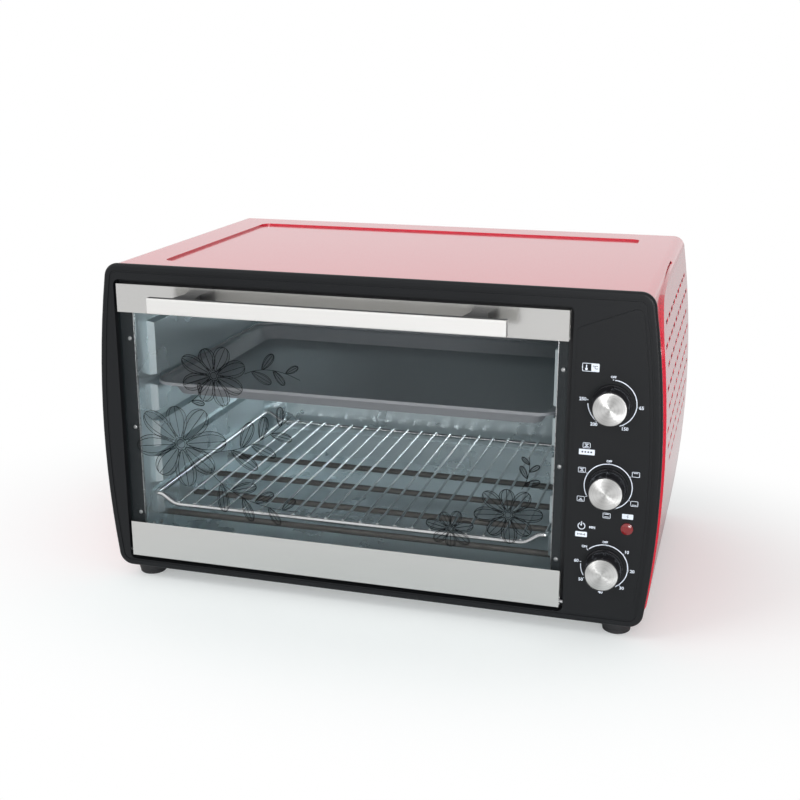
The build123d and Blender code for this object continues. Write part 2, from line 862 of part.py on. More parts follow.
def handle_brackets():
    """Brackets that narrow from the bar to the door."""
    back = door_face
    front = door_face - handle_reach + handle_thickness
    low = door_top - handle_drop - (handle_height + bracket_height) / 2
    brackets = []
    for x in bracket_places():
        outline = Polyline(
            (x - bracket_wide / 2, front),
            (x + bracket_wide / 2, front),
            (x + bracket_narrow / 2, back),
            (x - bracket_narrow / 2, back),
            close=True,
        )
        brackets.append(prism_z(make_face(outline), low, low + bracket_height))
    return brackets


def door_hinge_pins():
    """Steel blocks in the ends of the bottom strip, each with its hinge pin."""
    pins = []
    for side in (-1, 1):
        end = door_centre + side * (door_width / 2 - 0.5)
        far = end - side * pin_block[0]
        low = door_bottom + trim_sheet
        x = sorted((end, far))
        y = (hinge_y - pin_block[1] / 2 - 0.6, door_face + door_thickness - trim_sheet)
        body = block(x, y, (low, low + pin_block[2]))
        tip = door_centre + side * (door_width / 2 + pin_reach)
        pin = rod_x(pin_radius, min(end, tip), max(end, tip), hinge_y, hinge_z)
        pins.append(body + pin)
    return pins


def stay_hook_angle():
    """Front edge of the hook, below the hinge's level, so that it meets the wall's flange when open."""
    open_angle = degrees(acos((frame_back + cavity_sheet + 0.2 - hinge_y) / stay_outer))
    return door_swing - open_angle


def sector(inner, outer, low_angle, high_angle):
    """Part of a ring about the hinge axis, in Y and Z, from one angle above +Y to another."""

    def at(radius, angle):
        return (hinge_y + radius * cos(radians(angle)), hinge_z + radius * sin(radians(angle)))

    middle = (low_angle + high_angle) / 2
    return make_face(
        [
            ThreePointArc(at(outer, low_angle), at(outer, middle), at(outer, high_angle)),
            Line(at(outer, high_angle), at(inner, high_angle)),
            ThreePointArc(at(inner, high_angle), at(inner, middle), at(inner, low_angle)),
            Line(at(inner, low_angle), at(outer, low_angle)),
        ]
    )


def door_stays():
    """Quadrant arms on the door's back: they pass the frame's slots and their hooks stop the open door."""
    back = door_face + door_thickness
    arms = []
    for side, place in zip((-1, 1), stay_places()):
        arm = prism_x(sector(stay_inner, stay_outer, -stay_tail, 88), *place)
        arm += prism_x(sector(stay_outer - 1, stay_hook, -stay_tail, -stay_hook_angle()), *place)
        arm -= block((place[0] - 1, place[1] + 1), (door_face - 5, back), (door_bottom, door_top))
        outer = place[0] if side < 0 else place[1]
        inner = outer - side * 12
        tab = block(sorted((outer, inner)), (back, back + 1.2), (hinge_z + 14, hinge_z + stay_outer - 0.4))
        arms.append(arm + tab)
    return arms


# Knobs and controls


def knob_skirt(z):
    """Skirt with a seat for its disc, a bore for the shaft and a pointer rib on its upper side."""
    depth = knob_back - (door_face - knob_reach)
    base = (Align.CENTER, Align.CENTER, Align.MIN)
    grip = Plane.XY.offset(knob_base_height)
    body = extrude(flats(knob_base_radius), knob_base_height)
    body += tapered(grip, knob_grip_radius, knob_face_radius, depth - knob_base_height)
    body -= prism_z(flats(cap_radius + 0.1), depth - cap_sheet, depth + 1)
    body += Pos(0, knob_grip_radius - 0.4, depth / 2 + 1) * Box(pointer_width, pointer_width, depth - 4)
    bore = Cylinder(shaft_radius + shaft_fit, shaft_start, align=base)
    bore -= Pos(0, shaft_radius + shaft_fit, 0) * Box(8, 2 * shaft_flat, 80)
    return Plane((dial_x, knob_back, z), x_dir=(1, 0, 0), z_dir=(0, -1, 0)) * (body - bore)


def knob_cap(z):
    """Thin spun disc let into the knob's face."""
    front = door_face - knob_reach
    return drum_y(cap_radius, dial_x, front - 0.3, front + cap_sheet, z)


def knob_shaft(z):
    """Round shaft with a flat on its upper side inside the knob."""
    front = knob_back - shaft_start
    shaft = rod_y(shaft_radius, dial_x, front, frame_back + shaft_depth, z)
    flat_low = z + shaft_radius - shaft_flat
    return shaft - block((dial_x - 5, dial_x + 5), (front - 1, knob_back), (flat_low, z + 5))


def control_bush(z):
    """Neck of a control, which passes the bracket."""
    return drum_y(bush_radius, dial_x, door_face + bush_front, frame_back, z, neck_sides)


def shaft_bore(z):
    reach = shaft_radius + running_gap
    return rod_y(reach, dial_x, panel_face, frame_back + shaft_depth + 0.4, z)


def thermostat():
    z = dial_heights[0]
    body = block((dial_x - 18, dial_x + 18), (frame_back, frame_back + 24), (z - 15, z + 15))
    for x in (dial_x - 10, dial_x + 10):
        body += block((x - 3, x + 3), (frame_back + 24, frame_back + 32), (z - 0.5, z + 0.5))
    return body + control_bush(z) - shaft_bore(z)


def function_switch():
    z = dial_heights[1]
    body = drum_y(19, dial_x, frame_back, frame_back + 18, z)
    for k in range(6):
        turn = 2 * pi * k / 6
        x = dial_x + 13 * cos(turn)
        height = z + 13 * sin(turn)
        body += block((x - 2.5, x + 2.5), (frame_back + 18, frame_back + 26), (height - 0.5, height + 0.5))
    return body + control_bush(z) - shaft_bore(z)


def timer_body():
    z = dial_heights[2]
    x = (dial_x - timer_half, dial_x + timer_half)
    body = block(x, (frame_back, frame_back + 28), (z - timer_half, z + timer_half))
    post = drum_y(3, dial_x, frame_back + 28, frame_back + 31, z, neck_sides)
    return body + post + control_bush(z) - shaft_bore(z)


def timer_bell():
    """Shallow dome on the post at the timer's back."""
    back = frame_back + 31
    base = Plane((dial_x, back, dial_heights[2]), x_dir=(1, 0, 0), z_dir=(0, 1, 0))
    return tapered(base, bell_radius, bell_face_radius, bell_height)


def indicator_lens():
    """Lens with a sloped edge in front of the panel and a flange behind it."""
    lens = drum_y(lamp_radius, lamp_x, panel_face - lamp_edge, panel_face + panel_sheet, lamp_z)
    front = Plane((lamp_x, panel_face - lamp_edge, lamp_z), x_dir=(1, 0, 0), z_dir=(0, -1, 0))
    lens += tapered(front, lamp_radius, lamp_radius - lamp_edge, lamp_edge)
    return lens + drum_y(lamp_radius + 1.5, lamp_x, panel_face + panel_sheet, panel_face + 3, lamp_z)


def indicator_holder():
    return drum_y(lamp_radius - 0.8, lamp_x, panel_face + 3, frame_back + 12, lamp_z, neck_sides)


def heat_shield():
    x = frame_split + 0.5
    limits = (mouth_low + shield_margin, mouth_high - shield_margin)
    back = fan_y - shroud_half - shield_gap
    return block((x - cavity_sheet, x), (frame_back, back), limits)


def thermostat_probe():
    """Bulb inside the cavity and the capillary that joins it to the thermostat."""
    x, z = probe_place()
    y = door_face + bulb_setback
    bulb = drum_y(bulb_radius, x, y + 2, y + 2 + bulb_length, z, tube_sides)
    far = dial_x - 3
    points = [
        (x, y + 2, z),
        (x, y, z),
        (far, y, z),
        (far, y, dial_heights[0]),
        (far, frame_back + 24, dial_heights[0]),
    ]
    route = Polyline(*points)
    section = Plane(route @ 0, x_dir=(1, 0, 0), z_dir=(0, -1, 0)) * RegularPolygon(capillary_radius, 6)
    return bulb + sweep(section, route, transition=Transition.RIGHT)


def probe_clips():
    """Blocks between the bulb and the wall."""
    x, z = probe_place()
    face = door_centre + mouth_half
    reach = bulb_radius / cos(pi / tube_sides)
    places = [door_face + bulb_setback + 20, door_face + bulb_setback + 62]
    return [block((x + reach, face), (y - 3, y + 3), (z - 2, z + 2)) for y in places]


# Fan


def shroud_front():
    return door_centre + mouth_half + cavity_sheet


def fan_shroud():
    """Square dish behind the right wall, with flanges on the wall."""
    x = shroud_front()
    half = shroud_half
    outer = block((x, x + shroud_depth), (fan_y - half, fan_y + half), (fan_height - half, fan_height + half))
    inner_half = half - shroud_sheet
    inner = block(
        (x - 1, x + shroud_depth - shroud_sheet),
        (fan_y - inner_half, fan_y + inner_half),
        (fan_height - inner_half, fan_height + inner_half),
    )
    dish = fillet(outer.edges().filter_by(Axis.X), 12) - fillet(inner.edges().filter_by(Axis.X), 11)
    back = x + shroud_depth
    dish -= tube_x(fan_shaft_radius + 1, back - 2, back + 1, fan_y, fan_height, neck_sides)
    flange = block((x, x + shroud_sheet), (fan_y - half - 8, fan_y - half + 1), (fan_height - 30, fan_height + 30))
    flange += block((x, x + shroud_sheet), (fan_y + half - 1, fan_y + half + 8), (fan_height - 30, fan_height + 30))
    return dish + flange


def fan_motor():
    """Shaded-pole motor: plate stack, coil and front bearing, with a running bore for the shaft."""
    x = shroud_front() + shroud_depth + 4
    stack = block((x, x + 14), (fan_y - motor_half, fan_y + motor_half), (fan_height - 34, fan_height + motor_half))
    coil = block((x - 3, x + 20), (fan_y - 12, fan_y + 12), (fan_height - 33, fan_height - 22))
    housing = tube_x(15, x - 4, x + motor_length - 8, fan_y, fan_height, turned_sides)
    reach = fan_shaft_radius + running_gap
    return stack + coil + housing - rod_x(reach, x - 5, x + 18, fan_y, fan_height)


def fan_shaft():
    x = shroud_front()
    return rod_x(fan_shaft_radius, x + fan_wall_gap, x + shroud_depth + 4 + 17, fan_y, fan_height)


def fan_blade():
    """Hub, back plate and straight blades round its edge."""
    x = shroud_front() + fan_wall_gap
    hub = tube_x(fan_hub_radius, x, x + fan_blade_depth, fan_y, fan_height, neck_sides)
    plate = tube_x(fan_radius - 8, x + fan_blade_depth - 1, x + fan_blade_depth, fan_y, fan_height)
    fan = hub + plate
    for k in range(fan_blades):
        width = (-fan_blade_sheet / 2, fan_blade_sheet / 2)
        blade = block((x, x + fan_blade_depth), width, (fan_hub_radius - 1, fan_radius))
        fan += Pos(0, fan_y, fan_height) * Rot(360 * k / fan_blades, 0, 0) * blade
    return fan - rod_x(fan_shaft_radius + shaft_fit, x - 1, x + fan_blade_depth + 1, fan_y, fan_height)


# Base, back and feet


def foot_places():
    x = panel_width / 2 - foot_inset
    depths = (door_face + foot_front, cover_back - foot_back_inset)
    return [(side * x, y) for side in (-1, 1) for y in depths]


def base_plate():
    """Plate under the cover's lips, with an upstand against the front frame and one at the back."""
    half = side_x(lip_bottom) - cover_lip + base_overlap
    front = cover_front
    back = cover_back - cover_sheet - back_panel_sheet
    plate = block((-half, half), (front, back), (base_bottom, lip_bottom))
    inner = half - base_overlap - 1
    top = lip_bottom + base_upstand
    plate += block((-inner, inner), (frame_back, frame_back + 0.8), (base_bottom, top))
    plate += block((-inner, inner), (back - 0.8, back), (base_bottom, top))
    for column in range(-3, 4):
        for row in (-1, 1):
            slot = Box(base_vent_width, base_vent_length, 4 * base_sheet)
            y = row * (base_vent_length / 2 + 10)
            plate -= Pos(base_vent_pitch * column, y, base_bottom) * slot
    return plate


def feet():
    """Moulded feet, narrower at the sole."""
    foot = tapered(Plane.XY, foot_sole_radius, foot_radius, base_bottom)
    return [Pos(x, y, 0) * foot for x, y in foot_places()]


def standoff(grow, base, depth):
    """Tapered field pressed out of the back, from a depth backwards."""
    width = door_width - 2 * standoff_inset + 2 * grow
    high = total_height - standoff_top_margin
    middle = (door_centre, base, (standoff_low + high) / 2)
    outline = RectangleRounded(width, high - standoff_low + 2 * grow, 14 + grow)
    return extrude(Plane(middle, x_dir=(1, 0, 0), z_dir=(0, 1, 0)) * outline, depth, taper=standoff_taper)


def back_panel():
    """Plate inside the cover's rear lip, with a pressed stand-off, vents and the gland's hole."""
    back = cover_back - cover_sheet
    front = back - back_panel_sheet
    level = cover_top_inset + cover_sheet + 0.4
    plate = prism_y(barrel(cover_sheet - cover_side_swell + 0.4, level, level), front, back)
    reach = total_depth / 2
    plate += standoff(0, back, back_standoff + cover_sheet)
    plate -= standoff(-back_panel_sheet / 2, front - 0.01, back_standoff + cover_sheet)
    right = panel_width / 2 - back_vent_inset
    half = back_vent_height / 2
    for row in range(back_vent_rows):
        z = back_vent_low + back_vent_pitch * row
        plate -= block((right - back_vent_length, right), (front - 1, back + 1), (z - half, z + half))
    low = standoff_low + standoff_vent_margin
    high = total_height - standoff_top_margin - standoff_vent_margin
    columns = int((door_width / 2 - standoff_inset - standoff_vent_length) // standoff_vent_pitch)
    for row in range(int((high - low) // standoff_vent_row_pitch) + 1):
        z = low + standoff_vent_row_pitch * row
        for column in range(-columns, columns + 1):
            middle = Pos(door_centre + standoff_vent_pitch * column, reach, z)
            plate -= middle * Box(standoff_vent_length, 4, back_vent_height)
    return plate - drum_y(gland_radius, gland_x, front - 1, back + 1, gland_z)


def gland():
    """Gland with an open bore."""
    back = cover_back - cover_sheet
    front = back - back_panel_sheet
    body = drum_y(gland_radius - 0.05, gland_x, front - 5, back, gland_z)
    body += drum_y(gland_flange, gland_x, back, back + 4, gland_z)
    return body - rod_y(gland_bore, gland_x, front - 6, back + 5, gland_z)


def terminal_block():
    low = lip_bottom
    y = cover_back - terminal_back
    right = gland_x - terminal_gap
    body = block((right - terminal_length, right), (y, y + 18), (low, low + 14))
    for k in range(3):
        x = right - 9 - 16 * k
        body -= block((x - 5, x + 5), (y + 4, y + 14), (low + 8, low + 15))
    return body


save("outer_cover", outer_cover())
save("front_panel", front_panel())
save("front_frame", front_frame())
save("control_bracket", control_bracket())
save("hinge_lugs", *hinge_lugs())
save("cavity_left_wall", cavity_left_wall())
save("cavity_right_wall", cavity_right_wall())
save("cavity_top", cavity_top())
save("cavity_floor", cavity_floor())
save("cavity_rear_wall", cavity_rear_wall())
save("lower_heaters", *lower_heaters())
save("upper_heater", upper_heater())
save("heater_caps", *heater_caps())
save("heater_clips", *heater_clips())
save("heat_shield", heat_shield())
save("thermostat", thermostat())
save("thermostat_probe", thermostat_probe())
save("probe_clips", *probe_clips())
save("function_switch", function_switch())
save("timer_body", timer_body())
save("timer_bell", timer_bell())
save("indicator_lens", indicator_lens())
save("indicator_holder", indicator_holder())
save("fan_shroud", fan_shroud())
save("fan_motor", fan_motor())
save("fan_shaft", fan_shaft())
save("fan_blade", fan_blade())
save("base_plate", base_plate())
save("feet", *feet())
save("back_panel", back_panel())
save("cord_gland", gland())
save("terminal_block", terminal_block())
save("door_glass", door_glass())
save("door_top_trim", door_top_trim())
save("door_bottom_trim", door_bottom_trim())
save("door_seal_strips", *seal_strips())
save("handle_bar", handle_bar())
save("handle_brackets", *handle_brackets())
save("door_hinge_pins", *door_hinge_pins())
save("door_stays", *door_stays())
for name, height in zip(("temperature", "function", "timer"), dial_heights):
    save(f"{name}_knob_skirt", knob_skirt(height))
    save(f"{name}_knob_cap", knob_cap(height))
    save(f"{name}_knob_shaft", knob_shaft(height))
save("wire_rack", wire_rack())
save("baking_tray", baking_tray())
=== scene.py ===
from math import asin, cos, degrees, pi, radians, sin, sqrt

import bmesh
import bpy
from mathutils import Matrix, Vector


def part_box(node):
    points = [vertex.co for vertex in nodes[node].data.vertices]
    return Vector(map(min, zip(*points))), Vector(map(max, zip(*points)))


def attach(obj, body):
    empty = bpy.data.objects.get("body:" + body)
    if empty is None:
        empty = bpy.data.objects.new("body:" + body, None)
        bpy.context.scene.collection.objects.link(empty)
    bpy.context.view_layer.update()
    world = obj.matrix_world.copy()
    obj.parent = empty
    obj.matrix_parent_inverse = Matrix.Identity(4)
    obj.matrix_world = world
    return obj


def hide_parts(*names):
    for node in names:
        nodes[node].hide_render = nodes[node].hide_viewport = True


# Countertop electric oven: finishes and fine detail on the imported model. Metres, in the CAD frame: +X is the
# oven's right as seen from the front, the door faces -Y, +Z is up.

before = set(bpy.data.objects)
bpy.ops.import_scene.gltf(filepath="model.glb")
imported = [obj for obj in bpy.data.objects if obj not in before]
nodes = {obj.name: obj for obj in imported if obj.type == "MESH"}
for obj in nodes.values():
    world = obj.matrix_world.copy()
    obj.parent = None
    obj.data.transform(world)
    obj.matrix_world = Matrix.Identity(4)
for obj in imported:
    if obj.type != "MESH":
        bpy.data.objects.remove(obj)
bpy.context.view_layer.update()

mm = 0.001
dial_names = ("temperature", "function", "timer")
disc_radius = 14.6 * mm  # spun cap of a knob
pane_ior = 1.5
forwards = Vector((0, -1, 0))
sides = (-1, 1)
cover_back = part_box("outer_cover")[1].y
glass_low, glass_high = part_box("door_glass")
trim_low, trim_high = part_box("door_top_trim")
door_centre = (glass_low.x + glass_high.x) / 2
field_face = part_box("front_panel")[0].y  # face of the raised control field
dial_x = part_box("temperature_knob_cap")[0].x + disc_radius
dial_heights = [(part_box(f"{dial}_knob_cap")[0].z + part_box(f"{dial}_knob_cap")[1].z) / 2 for dial in dial_names]

# Materials


def feed(tree, socket, value):
    """Links an output to a socket, or sets the socket to a plain value."""
    if isinstance(value, bpy.types.NodeSocket):
        tree.links.new(value, socket)
    else:
        socket.default_value = value


def add(tree, kind, inputs=(), **settings):
    """New shader node: its settings are made first, then its inputs are fed."""
    node = tree.nodes.new(f"ShaderNode{kind}")
    for setting, value in settings.items():
        setattr(node, setting, value)
    for socket, value in dict(inputs).items():
        feed(tree, node.inputs[socket], value)
    return node


def calculate(tree, operation, *values):
    """Result of a math node fed with numbers or other outputs."""
    return add(tree, "Math", enumerate(values), operation=operation).outputs["Value"]


def new_material(name):
    """Material with its node tree and its shader."""
    material = bpy.data.materials.new(name)
    material.use_nodes = True
    return material, material.node_tree, material.node_tree.nodes["Principled BSDF"]


def noise_material(name, colour, roughness, metallic=0.0, shade=0.06, grain=300, bump=0.1, **sockets):
    """Principled material whose colour, roughness and surface vary with noise in the object's own space.

    The grain is the noise's scale: one number, or one for each axis.
    """
    material, tree, shader = new_material(name)
    shader.inputs["Metallic"].default_value = metallic
    for socket, value in sockets.items():
        shader.inputs[socket.replace("_", " ")].default_value = value
    scale = grain if isinstance(grain, (tuple, list)) else (grain, grain, grain)
    stretch = add(tree, "Mapping", {"Vector": add(tree, "TexCoord").outputs["Object"], "Scale": scale})
    cloud = {"Vector": stretch.outputs["Vector"], "Scale": 1.0, "Detail": 5.0}
    noise = add(tree, "TexNoise", cloud).outputs["Fac"]
    dark = (*[c * (1 - shade) for c in colour], 1)
    light = (*[min(c * (1 + shade), 1) for c in colour], 1)
    tint = add(tree, "Mix", {"Factor": noise, "A": dark, "B": light}, data_type="RGBA")
    feed(tree, shader.inputs["Base Color"], tint.outputs["Result"])
    gloss = {"Value": noise, "To Min": roughness * 0.85, "To Max": min(roughness * 1.15, 1)}
    feed(tree, shader.inputs["Roughness"], add(tree, "MapRange", gloss).outputs["Result"])
    relief = add(tree, "Bump", {"Height": noise, "Strength": bump, "Distance": 0.1 * mm})
    feed(tree, shader.inputs["Normal"], relief.outputs["Normal"])
    return material


def brushed(name, colour, roughness, along="X", shade=0.05, bump=0.12, **sockets):
    """Metal with fine streaks along one axis."""
    grain = [2600, 2600, 2600]
    grain["XYZ".index(along)] = 14
    return noise_material(name, colour, roughness, 1.0, shade, grain, bump, **sockets)


def glass_material():
    """Clear pane: it passes most light straight on and gains gloss towards grazing angles."""
    material = noise_material("door_glass", (0.03, 0.05, 0.055), 0.03, shade=0.2, grain=12, bump=0.01)
    tree = material.node_tree
    shader = tree.nodes["Principled BSDF"]
    shader.inputs["IOR"].default_value = pane_ior
    edge = add(tree, "LayerWeight", {"Blend": 0.5})
    grazing = calculate(tree, "POWER", edge.outputs["Facing"], 5)
    cover = add(tree, "MapRange", {"Value": grazing, "To Min": 0.07, "To Max": 1.0})
    feed(tree, shader.inputs["Alpha"], cover.outputs["Result"])
    return material


def ink_material(name, colour, alpha):
    """Matt print on the pane, thinned by its alpha."""
    material = noise_material(name, colour, 0.7, shade=0.15, grain=500, bump=0.0, Alpha=alpha)
    material.node_tree.nodes["Principled BSDF"].inputs["Specular IOR Level"].default_value = 0.1
    return material


red_paint = noise_material(
    "cover_paint", (0.66, 0.016, 0.045), 0.3, shade=0.04, grain=700, bump=0.05,
    Coat_Weight=1.0, Coat_Roughness=0.09, Coat_IOR=1.5,
)
panel_black = noise_material(
    "panel_plastic", (0.011, 0.012, 0.0135), 0.38, shade=0.1, grain=2500, bump=0.12,
    Specular_IOR_Level=0.2,
)
frame_black = noise_material(
    "frame_enamel", (0.014, 0.015, 0.017), 0.45, shade=0.15, grain=900, bump=0.03,
    Specular_IOR_Level=0.3,
)
cavity_metal = noise_material("cavity_sheet", (0.66, 0.75, 0.78), 0.28, 0.8, shade=0.04, grain=14, bump=0.0)
zinc = noise_material("galvanised_sheet", (0.55, 0.57, 0.58), 0.38, 1.0, shade=0.15, grain=160, bump=0.08)
heater_steel = noise_material(
    "heater_tube", (0.135, 0.125, 0.115), 0.45, 0.3, shade=0.35, grain=(60, 400, 400), bump=0.15,
)
ceramic = noise_material("ceramic_white", (0.78, 0.76, 0.71), 0.6, shade=0.05, grain=900, bump=0.2)
switch_metal = brushed("switch_metal", (0.62, 0.62, 0.60), 0.4, "Z")
phenolic = noise_material("switch_plastic", (0.05, 0.04, 0.035), 0.5, shade=0.2, grain=800, bump=0.15)
copper = noise_material("copper_tube", (0.72, 0.38, 0.25), 0.3, 1.0, shade=0.15, grain=300, bump=0.05)
brass = noise_material("bell_metal", (0.72, 0.56, 0.28), 0.25, 1.0, shade=0.1, grain=200, bump=0.05)
lamp_red = noise_material(
    "lamp_lens", (0.2, 0.004, 0.006), 0.12, shade=0.2, grain=500, bump=0.03, Coat_Weight=1.0,
)
motor_steel = brushed("motor_steel", (0.35, 0.36, 0.38), 0.45, "Y")
foot_rubber = noise_material("foot_rubber", (0.02, 0.02, 0.022), 0.62, shade=0.2, grain=1500, bump=0.25)
back_black = noise_material("back_paint", (0.025, 0.025, 0.028), 0.5, shade=0.15, grain=900, bump=0.2)
gland_black = noise_material("gland_plastic", (0.02, 0.02, 0.02), 0.5, shade=0.15, grain=900, bump=0.1)
trim_steel = brushed("trim_steel", (0.82, 0.815, 0.80), 0.2, "X")
silicone = noise_material("seal_silicone", (0.05, 0.05, 0.055), 0.55, shade=0.1, grain=700, bump=0.1)
bracket_grey = noise_material(
    "bracket_plastic", (0.02, 0.021, 0.023), 0.5, shade=0.12, grain=1500, bump=0.15,
    Specular_IOR_Level=0.25,
)
pin_steel = noise_material("pin_steel", (0.62, 0.63, 0.64), 0.28, 1.0, shade=0.1, grain=400, bump=0.05)
chrome = noise_material("rack_chrome", (0.82, 0.83, 0.84), 0.1, 1.0, shade=0.04, grain=300, bump=0.02)
tray_black = noise_material(
    "tray_enamel", (0.30, 0.31, 0.33), 0.38, 0.1, shade=0.08, grain=500, bump=0.05, Coat_Weight=0.1,
)
fan_metal = brushed("fan_aluminium", (0.72, 0.73, 0.74), 0.35, "Y")
knob_black = noise_material("knob_plastic", (0.012, 0.012, 0.014), 0.2, shade=0.15, grain=900, bump=0.04)
print_white = noise_material("print_white", (0.74, 0.80, 0.90), 0.6, shade=0.04, grain=2000, bump=0.05)
print_dark = noise_material("print_dark", (0.05, 0.055, 0.07), 0.6, shade=0.1, grain=2000, bump=0.05)
ink_line = ink_material("glass_ink", (0.004, 0.005, 0.006), 0.95)
ink_wash = ink_material("glass_wash", (0.02, 0.022, 0.025), 0.13)
glass = glass_material()


def spun_material():
    """Spun disc: turned grooves drawn from the distance to the disc's own axis, and a painted sheen: the colour
    turns paler along four rays round the axis, a painted highlight.
    """
    material, tree, shader = new_material("knob_disc")
    shader.inputs["Metallic"].default_value = 1.0
    shader.inputs["Anisotropic"].default_value = 0.85
    place = add(tree, "TexCoord").outputs["Object"]
    radius = add(tree, "VectorMath", {0: place}, operation="LENGTH").outputs["Value"]
    lathe = {"W": radius, "Scale": 3200.0, "Detail": 3.0}
    grooves = add(tree, "TexNoise", lathe, noise_dimensions="1D").outputs["Fac"]
    # Painted highlight: the base colour is paler in four rays round the disc's axis, fixed to the disc.
    parts = add(tree, "SeparateXYZ", {"Vector": place})
    turn = calculate(tree, "ARCTAN2", parts.outputs["Y"], parts.outputs["X"])
    wave = calculate(tree, "SINE", calculate(tree, "MULTIPLY", turn, 4.0))
    painted_sheen = calculate(tree, "MULTIPLY_ADD", wave, 0.3, grooves)
    greys = {"Factor": painted_sheen, "A": (0.56, 0.56, 0.55, 1), "B": (0.90, 0.90, 0.89, 1)}
    feed(tree, shader.inputs["Base Color"], add(tree, "Mix", greys, data_type="RGBA").outputs["Result"])
    gloss = add(tree, "MapRange", {"Value": grooves, "To Min": 0.24, "To Max": 0.36})
    feed(tree, shader.inputs["Roughness"], gloss.outputs["Result"])
    turning = add(tree, "Tangent", direction_type="RADIAL", axis="Z")
    feed(tree, shader.inputs["Tangent"], turning.outputs["Tangent"])
    return material


def handle_material():
    """Pale satin on the bar's front and back; its narrow edges are painted dark, a painted shade for the dark line
    along the bar's top.
    """
    metallic = 0.35
    material = noise_material("handle_satin", (0.76, 0.755, 0.74), 0.34, metallic, 0.03, (14, 1800, 1800), 0.05)
    tree = material.node_tree
    shader = tree.nodes["Principled BSDF"]
    parts = add(tree, "SeparateXYZ", {"Vector": add(tree, "TexCoord").outputs["Normal"]})
    # Painted shade: where this mask is off, on the narrow edges, a dark colour replaces the satin.
    broad = calculate(tree, "GREATER_THAN", calculate(tree, "ABSOLUTE", parts.outputs["Y"]), 0.35)
    satin = shader.inputs["Base Color"].links[0].from_socket
    colours = {"Factor": broad, "A": (0.035, 0.036, 0.038, 1), "B": satin}
    feed(tree, shader.inputs["Base Color"], add(tree, "Mix", colours, data_type="RGBA").outputs["Result"])
    feed(tree, shader.inputs["Metallic"], calculate(tree, "MULTIPLY", broad, metallic))
    return material


spun_disc = spun_material()
handle_satin = handle_material()

# Building pieces


def finish_piece(obj, material, body, smooth=True):
    """Links a piece into the scene, gives it its material and lets it ride on its body."""
    if obj.name not in bpy.context.scene.collection.objects:
        bpy.context.scene.collection.objects.link(obj)
    obj.data.materials.append(material)
    if smooth and obj.type == "MESH":
        obj.data.shade_smooth()
    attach(obj, body)
    return obj


def mesh_piece(name, build, material, body, smooth=True, bevel=0.0):
    """A piece whose mesh is built by a function that fills a bmesh."""
    shape = bmesh.new()
    build(shape)
    bmesh.ops.recalc_face_normals(shape, faces=shape.faces)
    mesh = bpy.data.meshes.new(name)
    shape.to_mesh(mesh)
    shape.free()
    obj = bpy.data.objects.new(name, mesh)
    if bevel:
        rounding = obj.modifiers.new("rounding", "BEVEL")
        rounding.width = bevel
        rounding.segments = 3
        rounding.limit_method = "ANGLE"
    return finish_piece(obj, material, body, smooth)


def turned(name, profile, centre, direction, material, body, steps=64):
    """A piece turned on its axis: profile points are (radius, height along the direction)."""

    def build(shape):
        rings = []
        for radius, height in profile:
            if radius == 0:
                rings.append([shape.verts.new((0, 0, height))])
                continue
            turn = [2 * pi * k / steps for k in range(steps)]
            rings.append([shape.verts.new((radius * cos(a), radius * sin(a), height)) for a in turn])
        for low, high in zip(rings, rings[1:]):
            for k in range(steps):
                after = k + 1
                corners = [low[k % len(low)], low[after % len(low)]]
                corners += [high[after % len(high)], high[k % len(high)]]
                shape.faces.new(list(dict.fromkeys(corners)))

    obj = mesh_piece(name, build, material, body)
    obj.data.set_sharp_from_angle(angle=radians(40))
    obj.matrix_world = Matrix.Translation(centre) @ direction.to_track_quat("Z", "Y").to_matrix().to_4x4()
    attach(obj, body)
    return obj


def rounded(points, radius, steps=6):
    """The same route with its corners turned into curves."""
    route = [Vector(points[0])]
    for before, corner, after in zip(points, points[1:], points[2:]):
        corner = Vector(corner)
        back = (Vector(before) - corner).normalized()
        ahead = (Vector(after) - corner).normalized()
        half = back.angle(ahead) / 2
        shorter = min((Vector(before) - corner).length, (Vector(after) - corner).length)
        reach = min(radius * cos(half) / sin(half), 0.45 * shorter)
        start = corner + back * reach
        end = corner + ahead * reach
        for k in range(steps + 1):
            t = k / steps
            route.append((1 - t) ** 2 * start + 2 * t * (1 - t) * corner + t * t * end)
    route.append(Vector(points[-1]))
    return route


def wires(name, routes, material, body, resolution=4):
    """Round wires: each route is (points, radius)."""
    curve = bpy.data.curves.new(name, "CURVE")
    curve.dimensions = "3D"
    curve.bevel_depth = 1 * mm
    curve.bevel_resolution = resolution
    curve.use_fill_caps = True
    for points, radius in routes:
        spline = curve.splines.new("POLY")
        spline.points.add(len(points) - 1)
        for point, place in zip(spline.points, points):
            point.co = (*place, 1)
            point.radius = radius / mm
        spline.use_smooth = True
    obj = bpy.data.objects.new(name, curve)
    return finish_piece(obj, material, body)


def dress(material, *names):
    """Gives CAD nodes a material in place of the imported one."""
    for name in names:
        mesh = nodes[name].data
        mesh.materials.clear()
        mesh.materials.append(material)


dress(red_paint, "outer_cover")
dress(panel_black, "front_panel")
dress(frame_black, "front_frame")
dress(cavity_metal, "cavity_left_wall", "cavity_right_wall", "cavity_top", "cavity_floor", "cavity_rear_wall")
dress(zinc, "control_bracket", "hinge_lugs", "heater_clips", "heat_shield")
dress(zinc, "probe_clips", "fan_shroud", "base_plate")
dress(ceramic, "heater_caps", "terminal_block")
dress(switch_metal, "thermostat", "timer_body")
dress(copper, "thermostat_probe")
dress(phenolic, "function_switch", "indicator_holder")
dress(brass, "timer_bell")
dress(motor_steel, "fan_motor")
dress(back_black, "back_panel")
dress(gland_black, "cord_gland")
dress(glass, "door_glass")
dress(trim_steel, "door_top_trim", "door_bottom_trim")
dress(handle_satin, "handle_bar")
dress(silicone, "door_seal_strips")
dress(bracket_grey, "handle_brackets")
dress(pin_steel, "door_hinge_pins", "door_stays", "fan_shaft")
dress(pin_steel, *[f"{dial}_knob_shaft" for dial in dial_names])
dress(tray_black, "baking_tray")
dress(fan_metal, "fan_blade")

# Knobs


